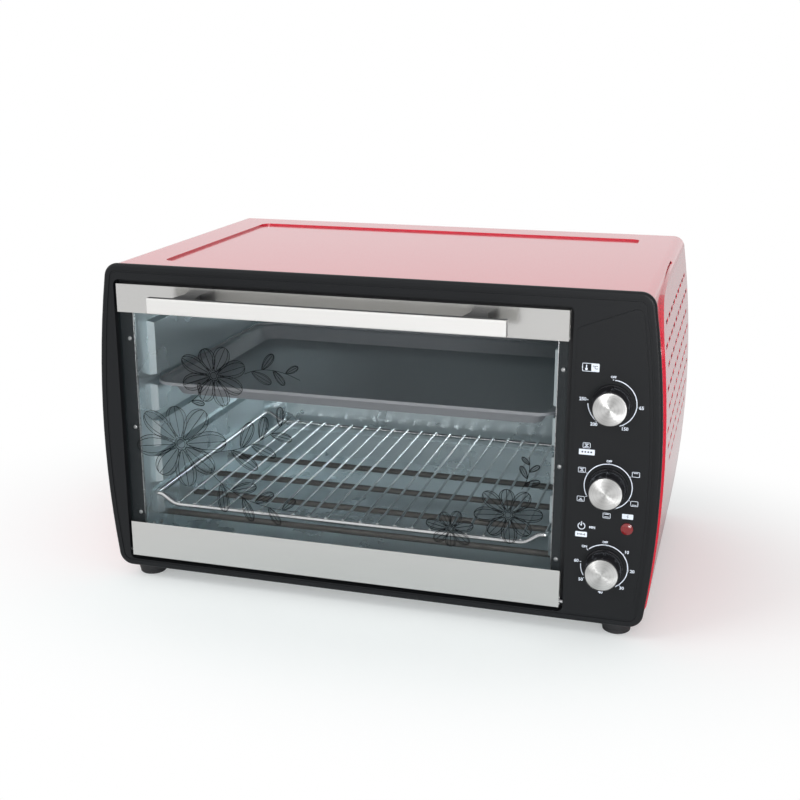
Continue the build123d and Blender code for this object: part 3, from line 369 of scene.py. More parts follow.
def knob(dial, height):
    """Turned skirt, spun disc and raised pointer; profiles are (radius, distance from the panel)."""
    body = f"{dial}_knob"
    back_low, back_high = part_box(f"{body}_skirt")
    centre = Vector((dial_x, back_high.y, height))
    depth = back_high.y - back_low.y
    floor = depth - 1.2 * mm  # bottom of the recess that holds the disc
    outside = [
        (3.2 * mm, 0.6 * mm),
        (17.0 * mm, 0.0),
        (17.5 * mm, 0.5 * mm),
        (17.5 * mm, 1.8 * mm),
        (17.1 * mm, 2.4 * mm),
        (16.5 * mm, 3.0 * mm),
        (16.2 * mm, 4.5 * mm),
        (15.7 * mm, depth - 0.7 * mm),
        (15.45 * mm, depth - 0.2 * mm),
        (15.1 * mm, depth),
        (14.75 * mm, depth - 0.1 * mm),
        (disc_radius + 0.1 * mm, floor),
        (0, floor),
    ]
    skirt = turned(f"{dial}_skirt", outside, centre, forwards, knob_black, body, 96)
    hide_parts(f"{body}_skirt")
    disc_profile = [
        (0, depth - 1.1 * mm),
        (14.55 * mm, depth - 1.1 * mm),
        (disc_radius, depth - 0.1 * mm),
        (14.4 * mm, depth + 0.2 * mm),
        (14.0 * mm, depth + 0.28 * mm),
        (7.0 * mm, depth + 0.24 * mm),
        (0, depth + 0.22 * mm),
    ]
    disc = turned(f"{dial}_disc", disc_profile, centre, forwards, spun_disc, body, 96)
    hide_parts(f"{body}_cap")

    def pointer(shape):
        rim = height + 15.9 * mm
        section = [  # half width, y and z of the ridge's front, rear and foot
            (0.35 * mm, back_low.y + 0.6 * mm, rim + 0.45 * mm),
            (0.8 * mm, back_high.y - 3 * mm, rim + 1.3 * mm),
            (1.1 * mm, back_high.y - 2.4 * mm, rim - 0.7 * mm),
            (0.8 * mm, back_low.y + 0.3 * mm, rim - 0.7 * mm),
        ]
        left, right = [
            [shape.verts.new((dial_x + side * half, y, z)) for half, y, z in section] for side in sides
        ]
        shape.faces.new(left)
        shape.faces.new(right)
        for a, b in ((0, 1), (1, 2), (2, 3), (3, 0)):
            shape.faces.new((left[a], left[b], right[b], right[a]))

    mesh_piece(f"{dial}_pointer", pointer, knob_black, body, bevel=0.15 * mm)


for dial, dial_height in zip(dial_names, dial_heights):
    knob(dial, dial_height)

# Prints on the control field


def flat_ring(shape, x, z, radius, start, end, width, y, steps=4):
    """Arc of a ring in the panel's plane; angles in degrees, clockwise from the top."""
    count = max(int(abs(end - start) / steps), 2)
    rows = []
    for k in range(count + 1):
        angle = radians(start + (end - start) * k / count)
        rows.append(
            [
                shape.verts.new((x + r * sin(angle), y, z + r * cos(angle)))
                for r in (radius - width / 2, radius + width / 2)
            ]
        )
    for a, b in zip(rows, rows[1:]):
        shape.faces.new((a[0], a[1], b[1], b[0]))


def flat_stroke(shape, points, width, y):
    """Line of a constant width through points in the panel's plane."""
    rows = []
    for k, (x, z) in enumerate(points):
        before = Vector(points[max(k - 1, 0)])
        after = Vector(points[min(k + 1, len(points) - 1)])
        ahead = (after - before).normalized()
        side = Vector((-ahead.y, ahead.x)) * width / 2
        rows.append([shape.verts.new((x + end * side.x, y, z + end * side.y)) for end in (1, -1)])
    for a, b in zip(rows, rows[1:]):
        shape.faces.new((a[0], a[1], b[1], b[0]))


def flat_box(shape, x, z, width, height, y, line=None, corner=0.6 * mm):
    """Rounded box, filled, or outlined when a line width is given."""
    outline = []
    for cx, cz, start in ((1, 1, 0), (1, -1, 90), (-1, -1, 180), (-1, 1, 270)):
        for k in range(4):
            angle = radians(start + 30 * k)
            outline.append(
                (
                    x + cx * (width / 2 - corner) + corner * sin(angle),
                    z + cz * (height / 2 - corner) + corner * cos(angle),
                )
            )
    if line:
        flat_stroke(shape, outline + outline[:2], line, y)
    else:
        shape.faces.new([shape.verts.new((px, y, pz)) for px, pz in outline])


def flat_text(shape, words, x, z, height, y):
    """Plain figures or letters, centred on a point."""
    font = bpy.data.curves.new("figures", "FONT")
    font.body = words
    font.size = height * 1.4
    font.align_x = "CENTER"
    font.align_y = "CENTER"
    font.offset = 0.1 * mm
    font.resolution_u = 3
    carrier = bpy.data.objects.new("figures", font)
    mesh = bpy.data.meshes.new_from_object(carrier)
    place = Matrix.Translation((x, y, z)) @ Matrix.Rotation(radians(90), 4, "X")
    mesh.transform(place)
    shape.from_mesh(mesh)
    bpy.data.objects.remove(carrier)
    bpy.data.curves.remove(font)
    bpy.data.meshes.remove(mesh)


print_face = field_face - 0.06 * mm
ring_radius = 21.2 * mm
ring_line = 0.85 * mm
figure_height = 3.0 * mm


def around(height, angle, radius):
    """Point round a dial; the angle runs clockwise from the top."""
    return dial_x + radius * sin(radians(angle)), height + radius * cos(radians(angle))


def tick(shape, height, angle, long):
    """Short mark that starts on the dial's ring."""
    start = ring_radius - 0.4 * mm
    ends = [around(height, angle, start), around(height, angle, start + long)]
    flat_stroke(shape, ends, 0.6 * mm, print_face)


def off_mark(shape, height):
    flat_text(shape, "OFF", *around(height, 0, ring_radius + 2.6 * mm), 2.0 * mm, print_face)
    tick(shape, height, 0, 1.2 * mm)


def pictogram(shape, x, z, marks):
    """Small oven sign: a box with a bar for each heater that is on, and a cross for the fan."""
    flat_box(shape, x, z, 6.4 * mm, 4.6 * mm, print_face, line=0.45 * mm)
    for heater, bar in (("top", z + 1.2 * mm), ("low", z - 1.2 * mm)):
        if heater in marks:
            flat_stroke(shape, [(x - 2 * mm, bar), (x + 2 * mm, bar)], 0.5 * mm, print_face)
    if "fan" in marks:
        for side in sides:
            ends = [(x - 0.9 * mm, z - side * 0.8 * mm), (x + 0.9 * mm, z + side * 0.8 * mm)]
            flat_stroke(shape, ends, 0.4 * mm, print_face)


def temperature_print(shape):
    height = dial_heights[0]
    flat_ring(shape, dial_x, height, ring_radius, 4, 160, ring_line, print_face)
    flat_ring(shape, dial_x, height, ring_radius, 217, 266, ring_line, print_face)
    for angle, words, out in ((95, "65", 4.2), (152, "150", 4.0), (217, "200", 4.0), (275, "250", 4.6)):
        tick(shape, height, angle, 1.6 * mm)
        x, z = around(height, angle, ring_radius + out * mm)
        flat_text(shape, words, x, z, figure_height, print_face)
    off_mark(shape, height)


def function_print(shape):
    height = dial_heights[1]
    flat_ring(shape, dial_x, height, ring_radius, -118, 172, ring_line, print_face)
    signs = {60: "top", 120: "low", 180: "toplow", 240: "lowfan", 300: "toplowfan"}
    for angle, marks in signs.items():
        tick(shape, height, angle, 1.8 * mm)
        x, z = around(height, angle, ring_radius + 6.2 * mm)
        pictogram(shape, x, z, marks)
    off_mark(shape, height)


def timer_print(shape):
    height = dial_heights[2]
    flat_ring(shape, dial_x, height, ring_radius, -42, 150, ring_line, print_face)
    flat_ring(shape, dial_x, height, ring_radius, 240, 272, ring_line, print_face)
    for angle, words in ((50, "10"), (94, "20"), (139, "30"), (185, "40"), (234, "50"), (277, "60")):
        tick(shape, height, angle, 1.6 * mm)
        flat_text(shape, words, *around(height, angle, ring_radius + 4.2 * mm), figure_height, print_face)
    off_mark(shape, height)
    flat_text(shape, "ON", *around(height, -46, ring_radius + 4.4 * mm), 2.2 * mm, print_face)
    tick(shape, height, -46, 2.0 * mm)


# Middle of the sign beside each dial and above the lamp
temperature_sign = (207.5 * mm, 256.8 * mm)
function_sign = (206.9 * mm, 185.6 * mm)
timer_sign = (205.5 * mm, 109.0 * mm)
lamp_sign = (246.0 * mm, 122.2 * mm)


def sign_print(shape):
    """Light parts of the signs: boxes, a thermometer and a stopwatch."""
    x, z = temperature_sign
    flat_box(shape, x, z, 14.4 * mm, 7.0 * mm, print_face, line=0.5 * mm)
    flat_box(shape, x + 3.7 * mm, z, 6.6 * mm, 6.4 * mm, print_face, corner=0.4 * mm)
    flat_stroke(shape, [(x - 3.8 * mm, z - 1.0 * mm), (x - 3.8 * mm, z + 2.2 * mm)], 0.9 * mm, print_face)
    flat_ring(shape, x - 3.8 * mm, z - 1.5 * mm, 0.6 * mm, 0, 360, 1.2 * mm, print_face, steps=20)
    pictogram(shape, *function_sign, "toplowfan")
    flat_box(shape, function_sign[0] + 0.4 * mm, function_sign[1] - 6.2 * mm, 14.0 * mm, 5.2 * mm, print_face)
    x, z = timer_sign
    flat_ring(shape, x, z, 3.1 * mm, 20, 340, 0.7 * mm, print_face, steps=12)
    flat_stroke(shape, [(x, z + 0.3 * mm), (x, z + 4.4 * mm)], 0.7 * mm, print_face)
    flat_stroke(shape, [(x, z + 0.3 * mm), (x - 1.4 * mm, z + 1.6 * mm)], 0.6 * mm, print_face)
    flat_text(shape, "MIN", x + 9.6 * mm, z - 0.6 * mm, 2.2 * mm, print_face)
    flat_box(shape, x, z - 8.0 * mm, 10.6 * mm, 5.0 * mm, print_face)
    flat_box(shape, *lamp_sign, 9.8 * mm, 4.8 * mm, print_face)


def sign_detail(shape):
    """Dark parts on the light boxes."""
    top = print_face - 0.04 * mm
    x, z = temperature_sign
    flat_ring(shape, x + 2.4 * mm, z + 1.2 * mm, 0.6 * mm, 0, 360, 0.3 * mm, top, steps=30)
    flat_text(shape, "C", x + 4.6 * mm, z, 3.0 * mm, top)
    x, z = function_sign
    for k in (-1.5, -0.5, 0.5, 1.5):
        flat_box(shape, x + 0.4 * mm + k * 2.6 * mm, z - 6.2 * mm, 1.5 * mm, 1.5 * mm, top, corner=0.3 * mm)
    x, z = timer_sign
    flat_stroke(shape, [(x - 3.4 * mm, z - 8.0 * mm), (x + 3.4 * mm, z - 8.0 * mm)], 0.5 * mm, top)
    for k in (-1, 0, 1):
        place = x + k * 3.2 * mm
        flat_stroke(shape, [(place, z - 9.0 * mm), (place, z - 7.0 * mm)], 0.5 * mm, top)
    x, z = lamp_sign
    bolt = ((0.5, 1.5), (-0.7, 0.1), (0.6, -0.1), (-0.5, -1.5))
    flat_stroke(shape, [(x + across * mm, z + up * mm) for across, up in bolt], 0.5 * mm, top)


for name, build in (
    ("temperature_figures", temperature_print),
    ("function_figures", function_print),
    ("timer_figures", timer_print),
    ("panel_signs", sign_print),
):
    mesh_piece(name, build, print_white, "casing", smooth=False)
mesh_piece("panel_sign_details", sign_detail, print_dark, "casing", smooth=False)

# Indicator lamp

lens_low, lens_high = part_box("indicator_lens")
lens_centre = Vector(((lens_low.x + lens_high.x) / 2, lens_high.y, (lens_low.z + lens_high.z) / 2))
lens_depth = lens_high.y - lens_low.y
lens_radius = 5.5 * mm
lens_flange = 7.0 * mm
lens_crown = 1.6 * mm  # height of the rounded front
lens_rib = 0.25 * mm  # every other ring of the front stands out by this
shoulder = lens_depth - lens_crown
lens_profile = [
    (0, 0), (lens_flange, 0), (lens_flange, 1.4 * mm), (lens_radius, 1.5 * mm), (lens_radius, shoulder),
]
for a in range(10, 90, 10):
    rib = lens_rib if a % 20 == 0 else 0
    lens_profile.append((lens_radius * cos(radians(a)) + rib, shoulder + lens_crown * sin(radians(a))))
lens_profile.append((0, lens_depth))
lens = turned("lamp_lens", lens_profile, lens_centre, forwards, lamp_red, "casing", 48)
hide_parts("indicator_lens")

# Decoration on the glass: daisies and leafy sprays in fine lines over a thin wash

ink_face = glass_low.y - 0.04 * mm
ink_width = 0.6 * mm


def petal_outline(x, z, turn, length, width):
    """Closed outline of a petal that starts at a point and ends rounded; turn in degrees from +X."""
    outline = []
    for k in range(21):
        t = k / 20
        outline.append((length * sin(pi * t / 2), width / 2 * sin(pi * t**0.8)))
    points = outline + [(a, -w) for a, w in reversed(outline[:-1])]
    c = cos(radians(turn))
    s = sin(radians(turn))
    return [(x + a * c - w * s, z + a * s + w * c) for a, w in points]


def veins(x, z, turn, length, width, count):
    """Fine lines that run along a petal or leaf, bowed with its outline."""
    lines = []
    c = cos(radians(turn))
    s = sin(radians(turn))
    for k in range(count):
        share = -0.7 + 1.4 * k / (count - 1) if count > 1 else 0
        line = []
        for j in range(9):
            t = j / 8 * 0.86 + 0.04
            a = length * sin(pi * t / 2)
            w = share * width / 2 * sin(pi * t**0.8)
            line.append((x + a * c - w * s, z + a * s + w * c))
        lines.append(line)
    return lines


def daisy(x, z, radius, count, turn=0.0, tilt=0.8):
    """Strokes and washes of a flower seen a little from the side."""
    strokes = []
    washes = []
    for k in range(count):
        angle = turn + 360 * k / count
        stretch = 1 - (1 - tilt) * abs(sin(radians(angle)))
        length = radius * stretch * (1 + 0.08 * sin(radians(137 * k)))
        width = radius * 0.5
        foot = (x + 0.13 * radius * cos(radians(angle)), z + 0.13 * radius * sin(radians(angle)))
        washes.append(petal_outline(*foot, angle, length, width))
        strokes.append(washes[-1])
        strokes += veins(*foot, angle, length, width, 3)
    for r in (0.15, 0.1):
        ring = [(x + radius * r * cos(pi * k / 8), z + radius * r * sin(pi * k / 8)) for k in range(17)]
        strokes.append(ring)
    return strokes, washes


def frond(points, leaf, count, lean=46.0):
    """Curved stem with paired leaves that shorten towards its tip."""
    a, b, c, d = [Vector(p) for p in points]

    def at(t):
        return (1 - t) ** 3 * a + 3 * t * (1 - t) ** 2 * b + 3 * t * t * (1 - t) * c + t**3 * d

    stem = [tuple(at(k / 24)) for k in range(25)]
    strokes = [stem]
    washes = []
    for k in range(2 * count):
        t = 0.14 + 0.84 * k / (2 * count)
        ahead = at(min(t + 0.02, 1)) - at(t - 0.02)
        heading = degrees(asin(max(min(ahead.normalized().y, 1), -1)))
        if ahead.x < 0:
            heading = 180 - heading
        side = 1 if k % 2 else -1
        size = leaf * (1 - 0.5 * t)
        foot = at(t)
        outline = petal_outline(foot.x, foot.y, heading + side * lean, size, size * 0.4)
        washes.append(outline)
        strokes.append(outline)
        strokes += veins(foot.x, foot.y, heading + side * lean, size, size * 0.4, 3)
    return strokes, washes


def route(*points):
    """Points given in millimetres."""
    return [(x * mm, z * mm) for x, z in points]


def decoration():
    """Strokes and washes of the whole pane, in its own plane."""
    strokes = []
    washes = []
    parts = [
        daisy(-188 * mm, 150 * mm, 44 * mm, 8, 8),
        daisy(-150 * mm, 222 * mm, 33 * mm, 8, 20, 0.74),
        frond(route((-178, 192), (-170, 198), (-163, 205), (-156, 212)), 15 * mm, 1),
        frond(route((-146, 146), (-120, 150), (-96, 162), (-72, 188)), 34 * mm, 3),
        frond(route((-156, 122), (-136, 100), (-104, 90), (-66, 92)), 32 * mm, 3),
        frond(route((-118, 226), (-102, 234), (-84, 234), (-62, 224)), 24 * mm, 2),
        daisy(138 * mm, 112 * mm, 29 * mm, 8, 5, 0.78),
        daisy(84 * mm, 92 * mm, 21 * mm, 7, 15, 0.74),
        frond(route((150, 138), (156, 148), (158, 158), (156, 170)), 16 * mm, 2),
    ]
    for lines, areas in parts:
        strokes += lines
        washes += areas
    return strokes, washes


art_strokes, art_washes = decoration()


def draw_lines(shape):
    for line in art_strokes:
        flat_stroke(shape, line, ink_width, ink_face)


def draw_washes(shape):
    for outline in art_washes:
        shape.faces.new([shape.verts.new((x, ink_face + 0.02 * mm, z)) for x, z in outline[:-1]])


mesh_piece("glass_lines", draw_lines, ink_line, "door", smooth=False)
mesh_piece("glass_wash", draw_washes, ink_wash, "door", smooth=False)

# Rack and heaters

rack_low, rack_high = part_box("wire_rack")
rail_radius = 2.5 * mm
thin_radius = 1.25 * mm
rail_corner = 2.89 * mm  # middle of the six-sided CAD rail to its highest edge
rail_level = rack_high.z - rail_corner
drop = 10 * mm  # side rails to the low middle of the cross rails
rail_x = 203.0 * mm  # middle of the rack to a side rail's outer face
rail_end = 9 * mm  # level part of a cross rail beside the side rail
rail_ramp = 14 * mm
rail_bend = 18 * mm
wire_pitch = 17.6 * mm
wire_count = 21
wire_overhang = 0.8 * mm
rack_front = rack_low.y + rail_radius
rack_back = rack_high.y - rail_radius


def rack_routes():
    """Closed frame wire with joggled cross rails and thin wires on top."""
    side = rail_x - rail_radius
    ramp_top = rail_x - rail_end
    level = rail_level - drop
    across = [(side, rail_level), (ramp_top, rail_level), (ramp_top - rail_ramp, level)]
    across += [(-x, z) for x, z in reversed(across)]
    start = (side, (rack_front + rack_back) / 2, rail_level)
    front = [(x, rack_front, z) for x, z in across]
    back = [(x, rack_back, z) for x, z in reversed(across)]
    frame_route = [(door_centre + p.x, p.y, p.z) for p in rounded([start, *front, *back, start], rail_bend)]
    routes = [(frame_route, rail_radius)]
    top = level + rail_radius
    reach = wire_pitch * (wire_count - 1) / 2
    for k in range(wire_count):
        x = door_centre - reach + wire_pitch * k
        ends = [(x, rack_front - wire_overhang, top), (x, rack_back + wire_overhang, top)]
        routes.append((ends, thin_radius))
    return routes


rack = wires("rack_wires", rack_routes(), chrome, "rack", 5)
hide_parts("wire_rack")

lower_low, lower_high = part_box("lower_heaters")
upper_low, upper_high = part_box("upper_heater")
tube_radius = 3.25 * mm
first_tube = -93.0 * mm
tube_pitch = 61.7 * mm
heater_ys = [first_tube + tube_pitch * k for k in range(4)]


def heater_route():
    """Upper heater: out from the right wall, to and fro, and back to it."""
    right = upper_high.x
    near_left = upper_low.x + tube_radius + 0.5 * mm
    near_right = door_centre + 167.5 * mm
    level = (upper_low.z + upper_high.z) / 2
    a, b, c, d = heater_ys
    corners = [(right, a), (near_left, a), (near_left, b), (near_right, b)]
    corners += [(near_right, c), (near_left, c), (near_left, d), (right, d)]
    return rounded([(x, y, level) for x, y in corners], 16 * mm, 8)


low_level = (lower_low.z + lower_high.z) / 2
lower_routes = [([(lower_low.x, y, low_level), (lower_high.x, y, low_level)], tube_radius) for y in heater_ys]
lower = wires("lower_tubes", lower_routes, heater_steel, "casing", 6)
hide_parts("lower_heaters")
upper = wires("upper_tube", [(heater_route(), tube_radius)], heater_steel, "casing", 6)
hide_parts("upper_heater")

# Hem of the cavity sheet around the window


wall_edge = 7.5 * mm  # a wall's furthest reach inwards to the hem's outer side
sheet_edge = 2.5 * mm  # lowest point of the floor or highest of the ceiling to the hem's end
hem_stand = 0.35 * mm  # the hem stands this far out of the front frame


def hem(shape):
    """Thin upright edges at both sides of the window."""
    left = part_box("cavity_left_wall")[1].x - wall_edge
    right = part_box("cavity_right_wall")[0].x + wall_edge
    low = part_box("cavity_floor")[0].z + sheet_edge
    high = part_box("cavity_top")[1].z - sheet_edge
    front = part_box("front_frame")[0].y - hem_stand
    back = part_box("front_frame")[1].y + 2 * mm
    thick = 0.7 * mm
    for x0, x1, z0, z1 in ((left, left + thick, low, high), (right - thick, right, low, high)):
        corners = [(x0, z0), (x1, z0), (x1, z1), (x0, z1)]
        near = [shape.verts.new((x, front, z)) for x, z in corners]
        far = [shape.verts.new((x, back, z)) for x, z in corners]
        shape.faces.new(near)
        shape.faces.new(far)
        for k in range(4):
            shape.faces.new((near[k], near[(k + 1) % 4], far[(k + 1) % 4], far[k]))


mesh_piece("window_hem", hem, pin_steel, "casing", bevel=0.15 * mm)

# Small fasteners


def screw_head(shape, place, direction, radius, depth, cross=True):
    """Pan head with a cross recess."""
    turn = direction.to_track_quat("Z", "Y").to_matrix().to_4x4()
    matrix = Matrix.Translation(place) @ turn
    steps = 20
    profile = [(1.0, 0.0), (1.0, 0.35), (0.93, 0.7), (0.78, 0.92), (0.66, 1.0)]
    rings = []
    for r, h in profile:
        ring = []
        for k in range(steps):
            a = 2 * pi * k / steps
            ring.append(shape.verts.new(matrix @ Vector((radius * r * cos(a), radius * r * sin(a), depth * h))))
        rings.append(ring)
    for low, high in zip(rings, rings[1:]):
        for k in range(steps):
            shape.faces.new((low[k], low[(k + 1) % steps], high[(k + 1) % steps], high[k]))
    if not cross:
        shape.faces.new(rings[-1])
        return
    arm = radius * 0.5
    bar = radius * 0.13
    outline = [(bar, bar), (bar, arm), (-bar, arm), (-bar, bar), (-arm, bar), (-arm, -bar)]
    outline += [(-bar, -bar), (-bar, -arm), (bar, -arm), (bar, -bar), (arm, -bar), (arm, bar)]
    upper_loop = [shape.verts.new(matrix @ Vector((x, y, depth))) for x, y in outline]
    lower_loop = [shape.verts.new(matrix @ Vector((x, y, depth * 0.35))) for x, y in outline]
    edges = [shape.edges.get((rings[-1][k], rings[-1][(k + 1) % steps])) for k in range(steps)]
    count = len(outline)
    edges += [shape.edges.new((upper_loop[k], upper_loop[(k + 1) % count])) for k in range(count)]
    bmesh.ops.triangle_fill(shape, edges=edges, use_beauty=True)
    for k in range(count):
        after = (k + 1) % count
        shape.faces.new((upper_loop[k], upper_loop[after], lower_loop[after], lower_loop[k]))
    shape.faces.new(lower_loop)


def screws(name, places, direction, radius, depth, body="casing", cross=True):
    """One piece that holds the heads of like screws or rivets."""

    def build(shape):
        for place in places:
            screw_head(shape, Vector(place), Vector(direction), radius, depth, cross)

    obj = mesh_piece(name, build, pin_steel, body)
    obj.data.set_sharp_from_angle(angle=radians(35))


half_width = 273 * mm
side_radius = 1.0  # of the long arc of each side
bulge_height = 156 * mm  # where the sides are fullest


def side_x(z):
    """Half width of the casing at a height."""
    return half_width - side_radius + sqrt(side_radius**2 - (z - bulge_height) ** 2)


frame_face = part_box("front_frame")[0].y
rivet_x = 212.0 * mm  # middle of the door to each column of rivets
rivet_places = [(door_centre + side * rivet_x, frame_face, z * mm) for side in sides for z in (69, 159.5, 250)]
screws("frame_rivets", rivet_places, (0, -1, 0), 2.1 * mm, 1.0 * mm, cross=False)
wall_flange = 9 * mm  # the walls' flanges turn outwards, so their inner faces lie this far inside
left_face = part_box("cavity_left_wall")[0].x + wall_flange
right_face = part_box("cavity_right_wall")[1].x - wall_flange
wall_places = [(-0.128, 0.050), (-0.112, 0.046), (-0.128, 0.284), (0.150, 0.284), (0.150, 0.046)]
for name, x, inwards in (("left_wall_screws", left_face, 1), ("right_wall_screws", right_face, -1)):
    screws(name, [(x, y, z) for y, z in wall_places], (inwards, 0, 0), 2.2 * mm, 1.1 * mm)
back_places = [(x * mm, cover_back, 316.5 * mm) for x in (-180, 0, 180)]
for side in sides:
    back_places += [(side * (side_x(z * mm) - 4.6 * mm), cover_back, z * mm) for z in (60, 156, 250)]
screws("back_screws", back_places, (0, 1, 0), 3.2 * mm, 1.8 * mm)
base_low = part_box("base_plate")[0]
base_screw_x = 248.3 * mm
base_places = [(side * base_screw_x, y, base_low.z) for side in sides for y in (-0.09, 0.01, 0.1)]
screws("base_screws", base_places, (0, 0, -1), 2.8 * mm, 1.6 * mm)
bracket_low, bracket_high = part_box("handle_brackets")
bracket_x = 138 * mm  # middle of the door to each bracket
handle_height = (bracket_low.z + bracket_high.z) / 2
handle_places = [(door_centre + side * bracket_x, trim_high.y, handle_height) for side in sides]
screws("handle_screws", handle_places, (0, 1, 0), 3.4 * mm, 1.6 * mm, body="door")

# Feet


def foot(k, x, y):
    """Hollow rubber foot with a stepped side."""
    top = base_low.z
    profile = [
        (3.0 * mm, 3.0 * mm),
        (5.5 * mm, 3.0 * mm),
        (6.0 * mm, 0.6 * mm),
        (12.2 * mm, 0.0),
        (13.0 * mm, 0.7 * mm),
        (13.3 * mm, 3.0 * mm),
        (13.0 * mm, 3.4 * mm),
        (13.8 * mm, 4.4 * mm),
        (14.9 * mm, top - 1.0 * mm),
        (14.6 * mm, top),
        (3.0 * mm, top),
        (3.0 * mm, 3.0 * mm),
    ]
    place = Vector((x, y, 0))
    return turned(f"foot_{k}", profile, place, Vector((0, 0, 1)), foot_rubber, "casing", 48)


foot_x = 239 * mm
foot_screw_z = 4.5 * mm
foot_places = [(side * foot_x, y * mm) for side in sides for y in (-132, 143)]
feet = [foot(k, x, y) for k, (x, y) in enumerate(foot_places)]
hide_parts("feet")
screws("foot_screws", [(x, y, foot_screw_z) for x, y in foot_places], (0, 0, -1), 3.2 * mm, 1.4 * mm)

# Vent louvres: a lip bent inwards along each slot

slot_length = 18  # these seven in millimetres
slot_pitch = 28.5
row_pitch = 19.3
lowest_row = 152
row_start = 52  # door face to the middle of a row's first slot
low_row_start = 92  # the lowest row starts further back
row_end = 318


def louvres(shape, side, rows):
    """Lips of the slots in one side; rows are counted from the lowest."""
    reach = (slot_length / 2 - 0.05) * mm
    for row in rows:
        z = (lowest_row + row_pitch * row) * mm
        start = row_start + (slot_pitch / 2 if row % 2 else 0)
        if row == 0:
            start = low_row_start
        for step in range(int((row_end - start) // slot_pitch) + 1):
            y = trim_low.y + (start + slot_pitch * step) * mm
            x = side * (side_x(z) + 0.1 * mm)
            top = z + 1.95 * mm
            inner = x - side * 1.7 * mm
            low = z - 1.85 * mm
            section = [(x, top), (inner, low)]
            section += [(inner - side * 0.6 * mm, low + 0.3 * mm), (x - side * 0.8 * mm, top)]
            corners = [[shape.verts.new((px, y + end * reach, pz)) for end in sides] for px, pz in section]
            for a, b in zip(corners, corners[1:] + corners[:1]):
                shape.faces.new((a[0], a[1], b[1], b[0]))
            for end in (0, 1):
                shape.faces.new([c[end] for c in corners])


for name, side, rows in (("right_louvres", 1, range(8)), ("left_louvres", -1, range(5, 8))):
    mesh_piece(name, lambda shape: louvres(shape, side, rows), red_paint, "casing", smooth=False)

# Camera, lights and floor

camera_data = bpy.data.cameras.new("camera")
camera_data.sensor_width = 36
camera_data.lens = 55.13
camera_data.clip_end = 50
camera = bpy.data.objects.new("camera", camera_data)
camera.location = (0.33539, -1.18843, 0.53006)
camera.rotation_euler = (radians(90 - 16.4333), 0, radians(16.2249))
bpy.context.scene.collection.objects.link(camera)
bpy.context.scene.camera = camera
bpy.context.scene.view_settings.view_transform = "Standard"


def soft_box(name, place, aim, size, power, spread=pi):
    """Rectangular lamp turned towards a point."""
    lamp = bpy.data.lights.new(name, "AREA")
    lamp.shape = "RECTANGLE"
    lamp.size = size[0]
    lamp.size_y = size[1]
    lamp.energy = power
    lamp.spread = spread
    obj = bpy.data.objects.new(name, lamp)
    obj.location = place
    obj.rotation_euler = (Vector(aim) - Vector(place)).to_track_quat("-Z", "Y").to_euler()
    bpy.context.scene.collection.objects.link(obj)
    return obj


key = soft_box("key", (-1.5, -1.3, 1.9), (0, 0, 0.15), (1.3, 1.1), 16)
front_fill = soft_box("front_fill", (0.2, -2.4, 0.9), (-0.05, 0, 0.15), (2.4, 1.5), 12)
for lamp in (key, front_fill):
    lamp.visible_glossy = False  # the paint would show each lamp as a clipped white patch
soft_box("low_fill", (0.78, -1.8, 0.36), (0.0, 0.16, 0.16), (0.7, 0.6), 3.6, radians(90))


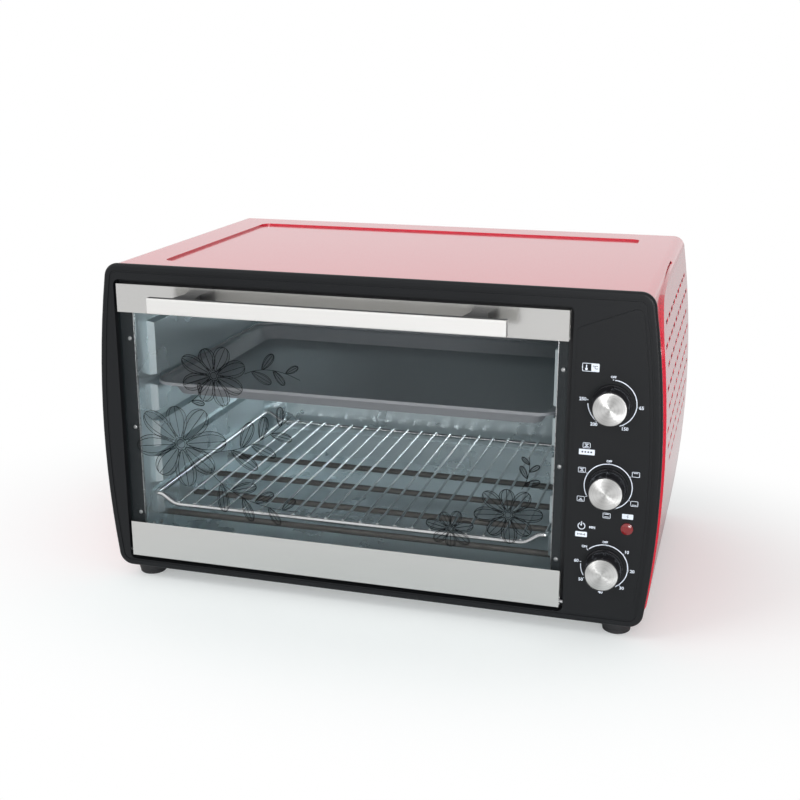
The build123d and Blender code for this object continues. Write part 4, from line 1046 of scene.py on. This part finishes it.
def studio_world():
    """White for what is seen or mirrored, a little less for what only lights."""
    world = bpy.data.worlds.new("studio")
    bpy.context.scene.world = world
    world.use_nodes = True
    tree = world.node_tree
    background = tree.nodes["Background"]
    background.inputs["Color"].default_value = (1, 1, 1, 1)
    ray = add(tree, "LightPath").outputs
    seen = calculate(tree, "MAXIMUM", ray["Is Camera Ray"], ray["Is Transmission Ray"])
    strength = add(tree, "MapRange", {"Value": seen, "To Min": 0.62, "To Max": 1.0})
    place = add(tree, "SeparateXYZ", {"Vector": add(tree, "TexCoord").outputs["Generated"]})
    span = {"Value": place.outputs["X"], "From Min": 0.15, "From Max": 0.9, "To Min": 0.94, "To Max": 0.5}
    wall = add(tree, "MapRange", span, interpolation_type="SMOOTHSTEP")
    levels = {"Factor": ray["Is Glossy Ray"], "A": strength.outputs["Result"], "B": wall.outputs["Result"]}
    feed(tree, background.inputs["Strength"], add(tree, "Mix", levels).outputs["Result"])


studio_world()


def studio_floor():
    """Pale floor that keeps the shadow near the oven and fades to white further out."""
    mesh = bpy.data.meshes.new("floor")
    shape = bmesh.new()
    bmesh.ops.create_grid(shape, x_segments=8, y_segments=8, size=6)
    shape.to_mesh(mesh)
    shape.free()
    floor = bpy.data.objects.new("floor", mesh)
    bpy.context.scene.collection.objects.link(floor)
    material, tree, shader = new_material("floor")
    shader.inputs["Base Color"].default_value = (0.76, 0.80, 0.80, 1)
    shader.inputs["Roughness"].default_value = 0.9
    shader.inputs["Specular IOR Level"].default_value = 0.1
    shader.inputs["Emission Color"].default_value = (1, 1, 1, 1)
    camera_ray = add(tree, "LightPath").outputs["Is Camera Ray"]
    feed(tree, shader.inputs["Emission Strength"], calculate(tree, "MULTIPLY", camera_ray, 0.26))
    white = add(tree, "MapRange", {"Value": camera_ray, "To Min": 0.66, "To Max": 1.0})
    glow = add(tree, "Emission", {"Color": (1, 1, 1, 1), "Strength": white.outputs["Result"]})
    stretch = {"Vector": add(tree, "TexCoord").outputs["Object"], "Scale": (1 / 0.30, 1 / 0.20, 1)}
    oval = add(tree, "Mapping", stretch).outputs["Vector"]
    distance = add(tree, "VectorMath", {0: oval}, operation="LENGTH").outputs["Value"]
    edge = {"Value": distance, "From Min": 0.95, "From Max": 2.2}
    fade = add(tree, "MapRange", edge, interpolation_type="SMOOTHSTEP")
    layers = {"Fac": fade.outputs["Result"], 1: shader.outputs["BSDF"], 2: glow.outputs["Emission"]}
    blend = add(tree, "MixShader", layers)
    feed(tree, tree.nodes["Material Output"].inputs["Surface"], blend.outputs["Shader"])
    mesh.materials.append(material)


studio_floor()
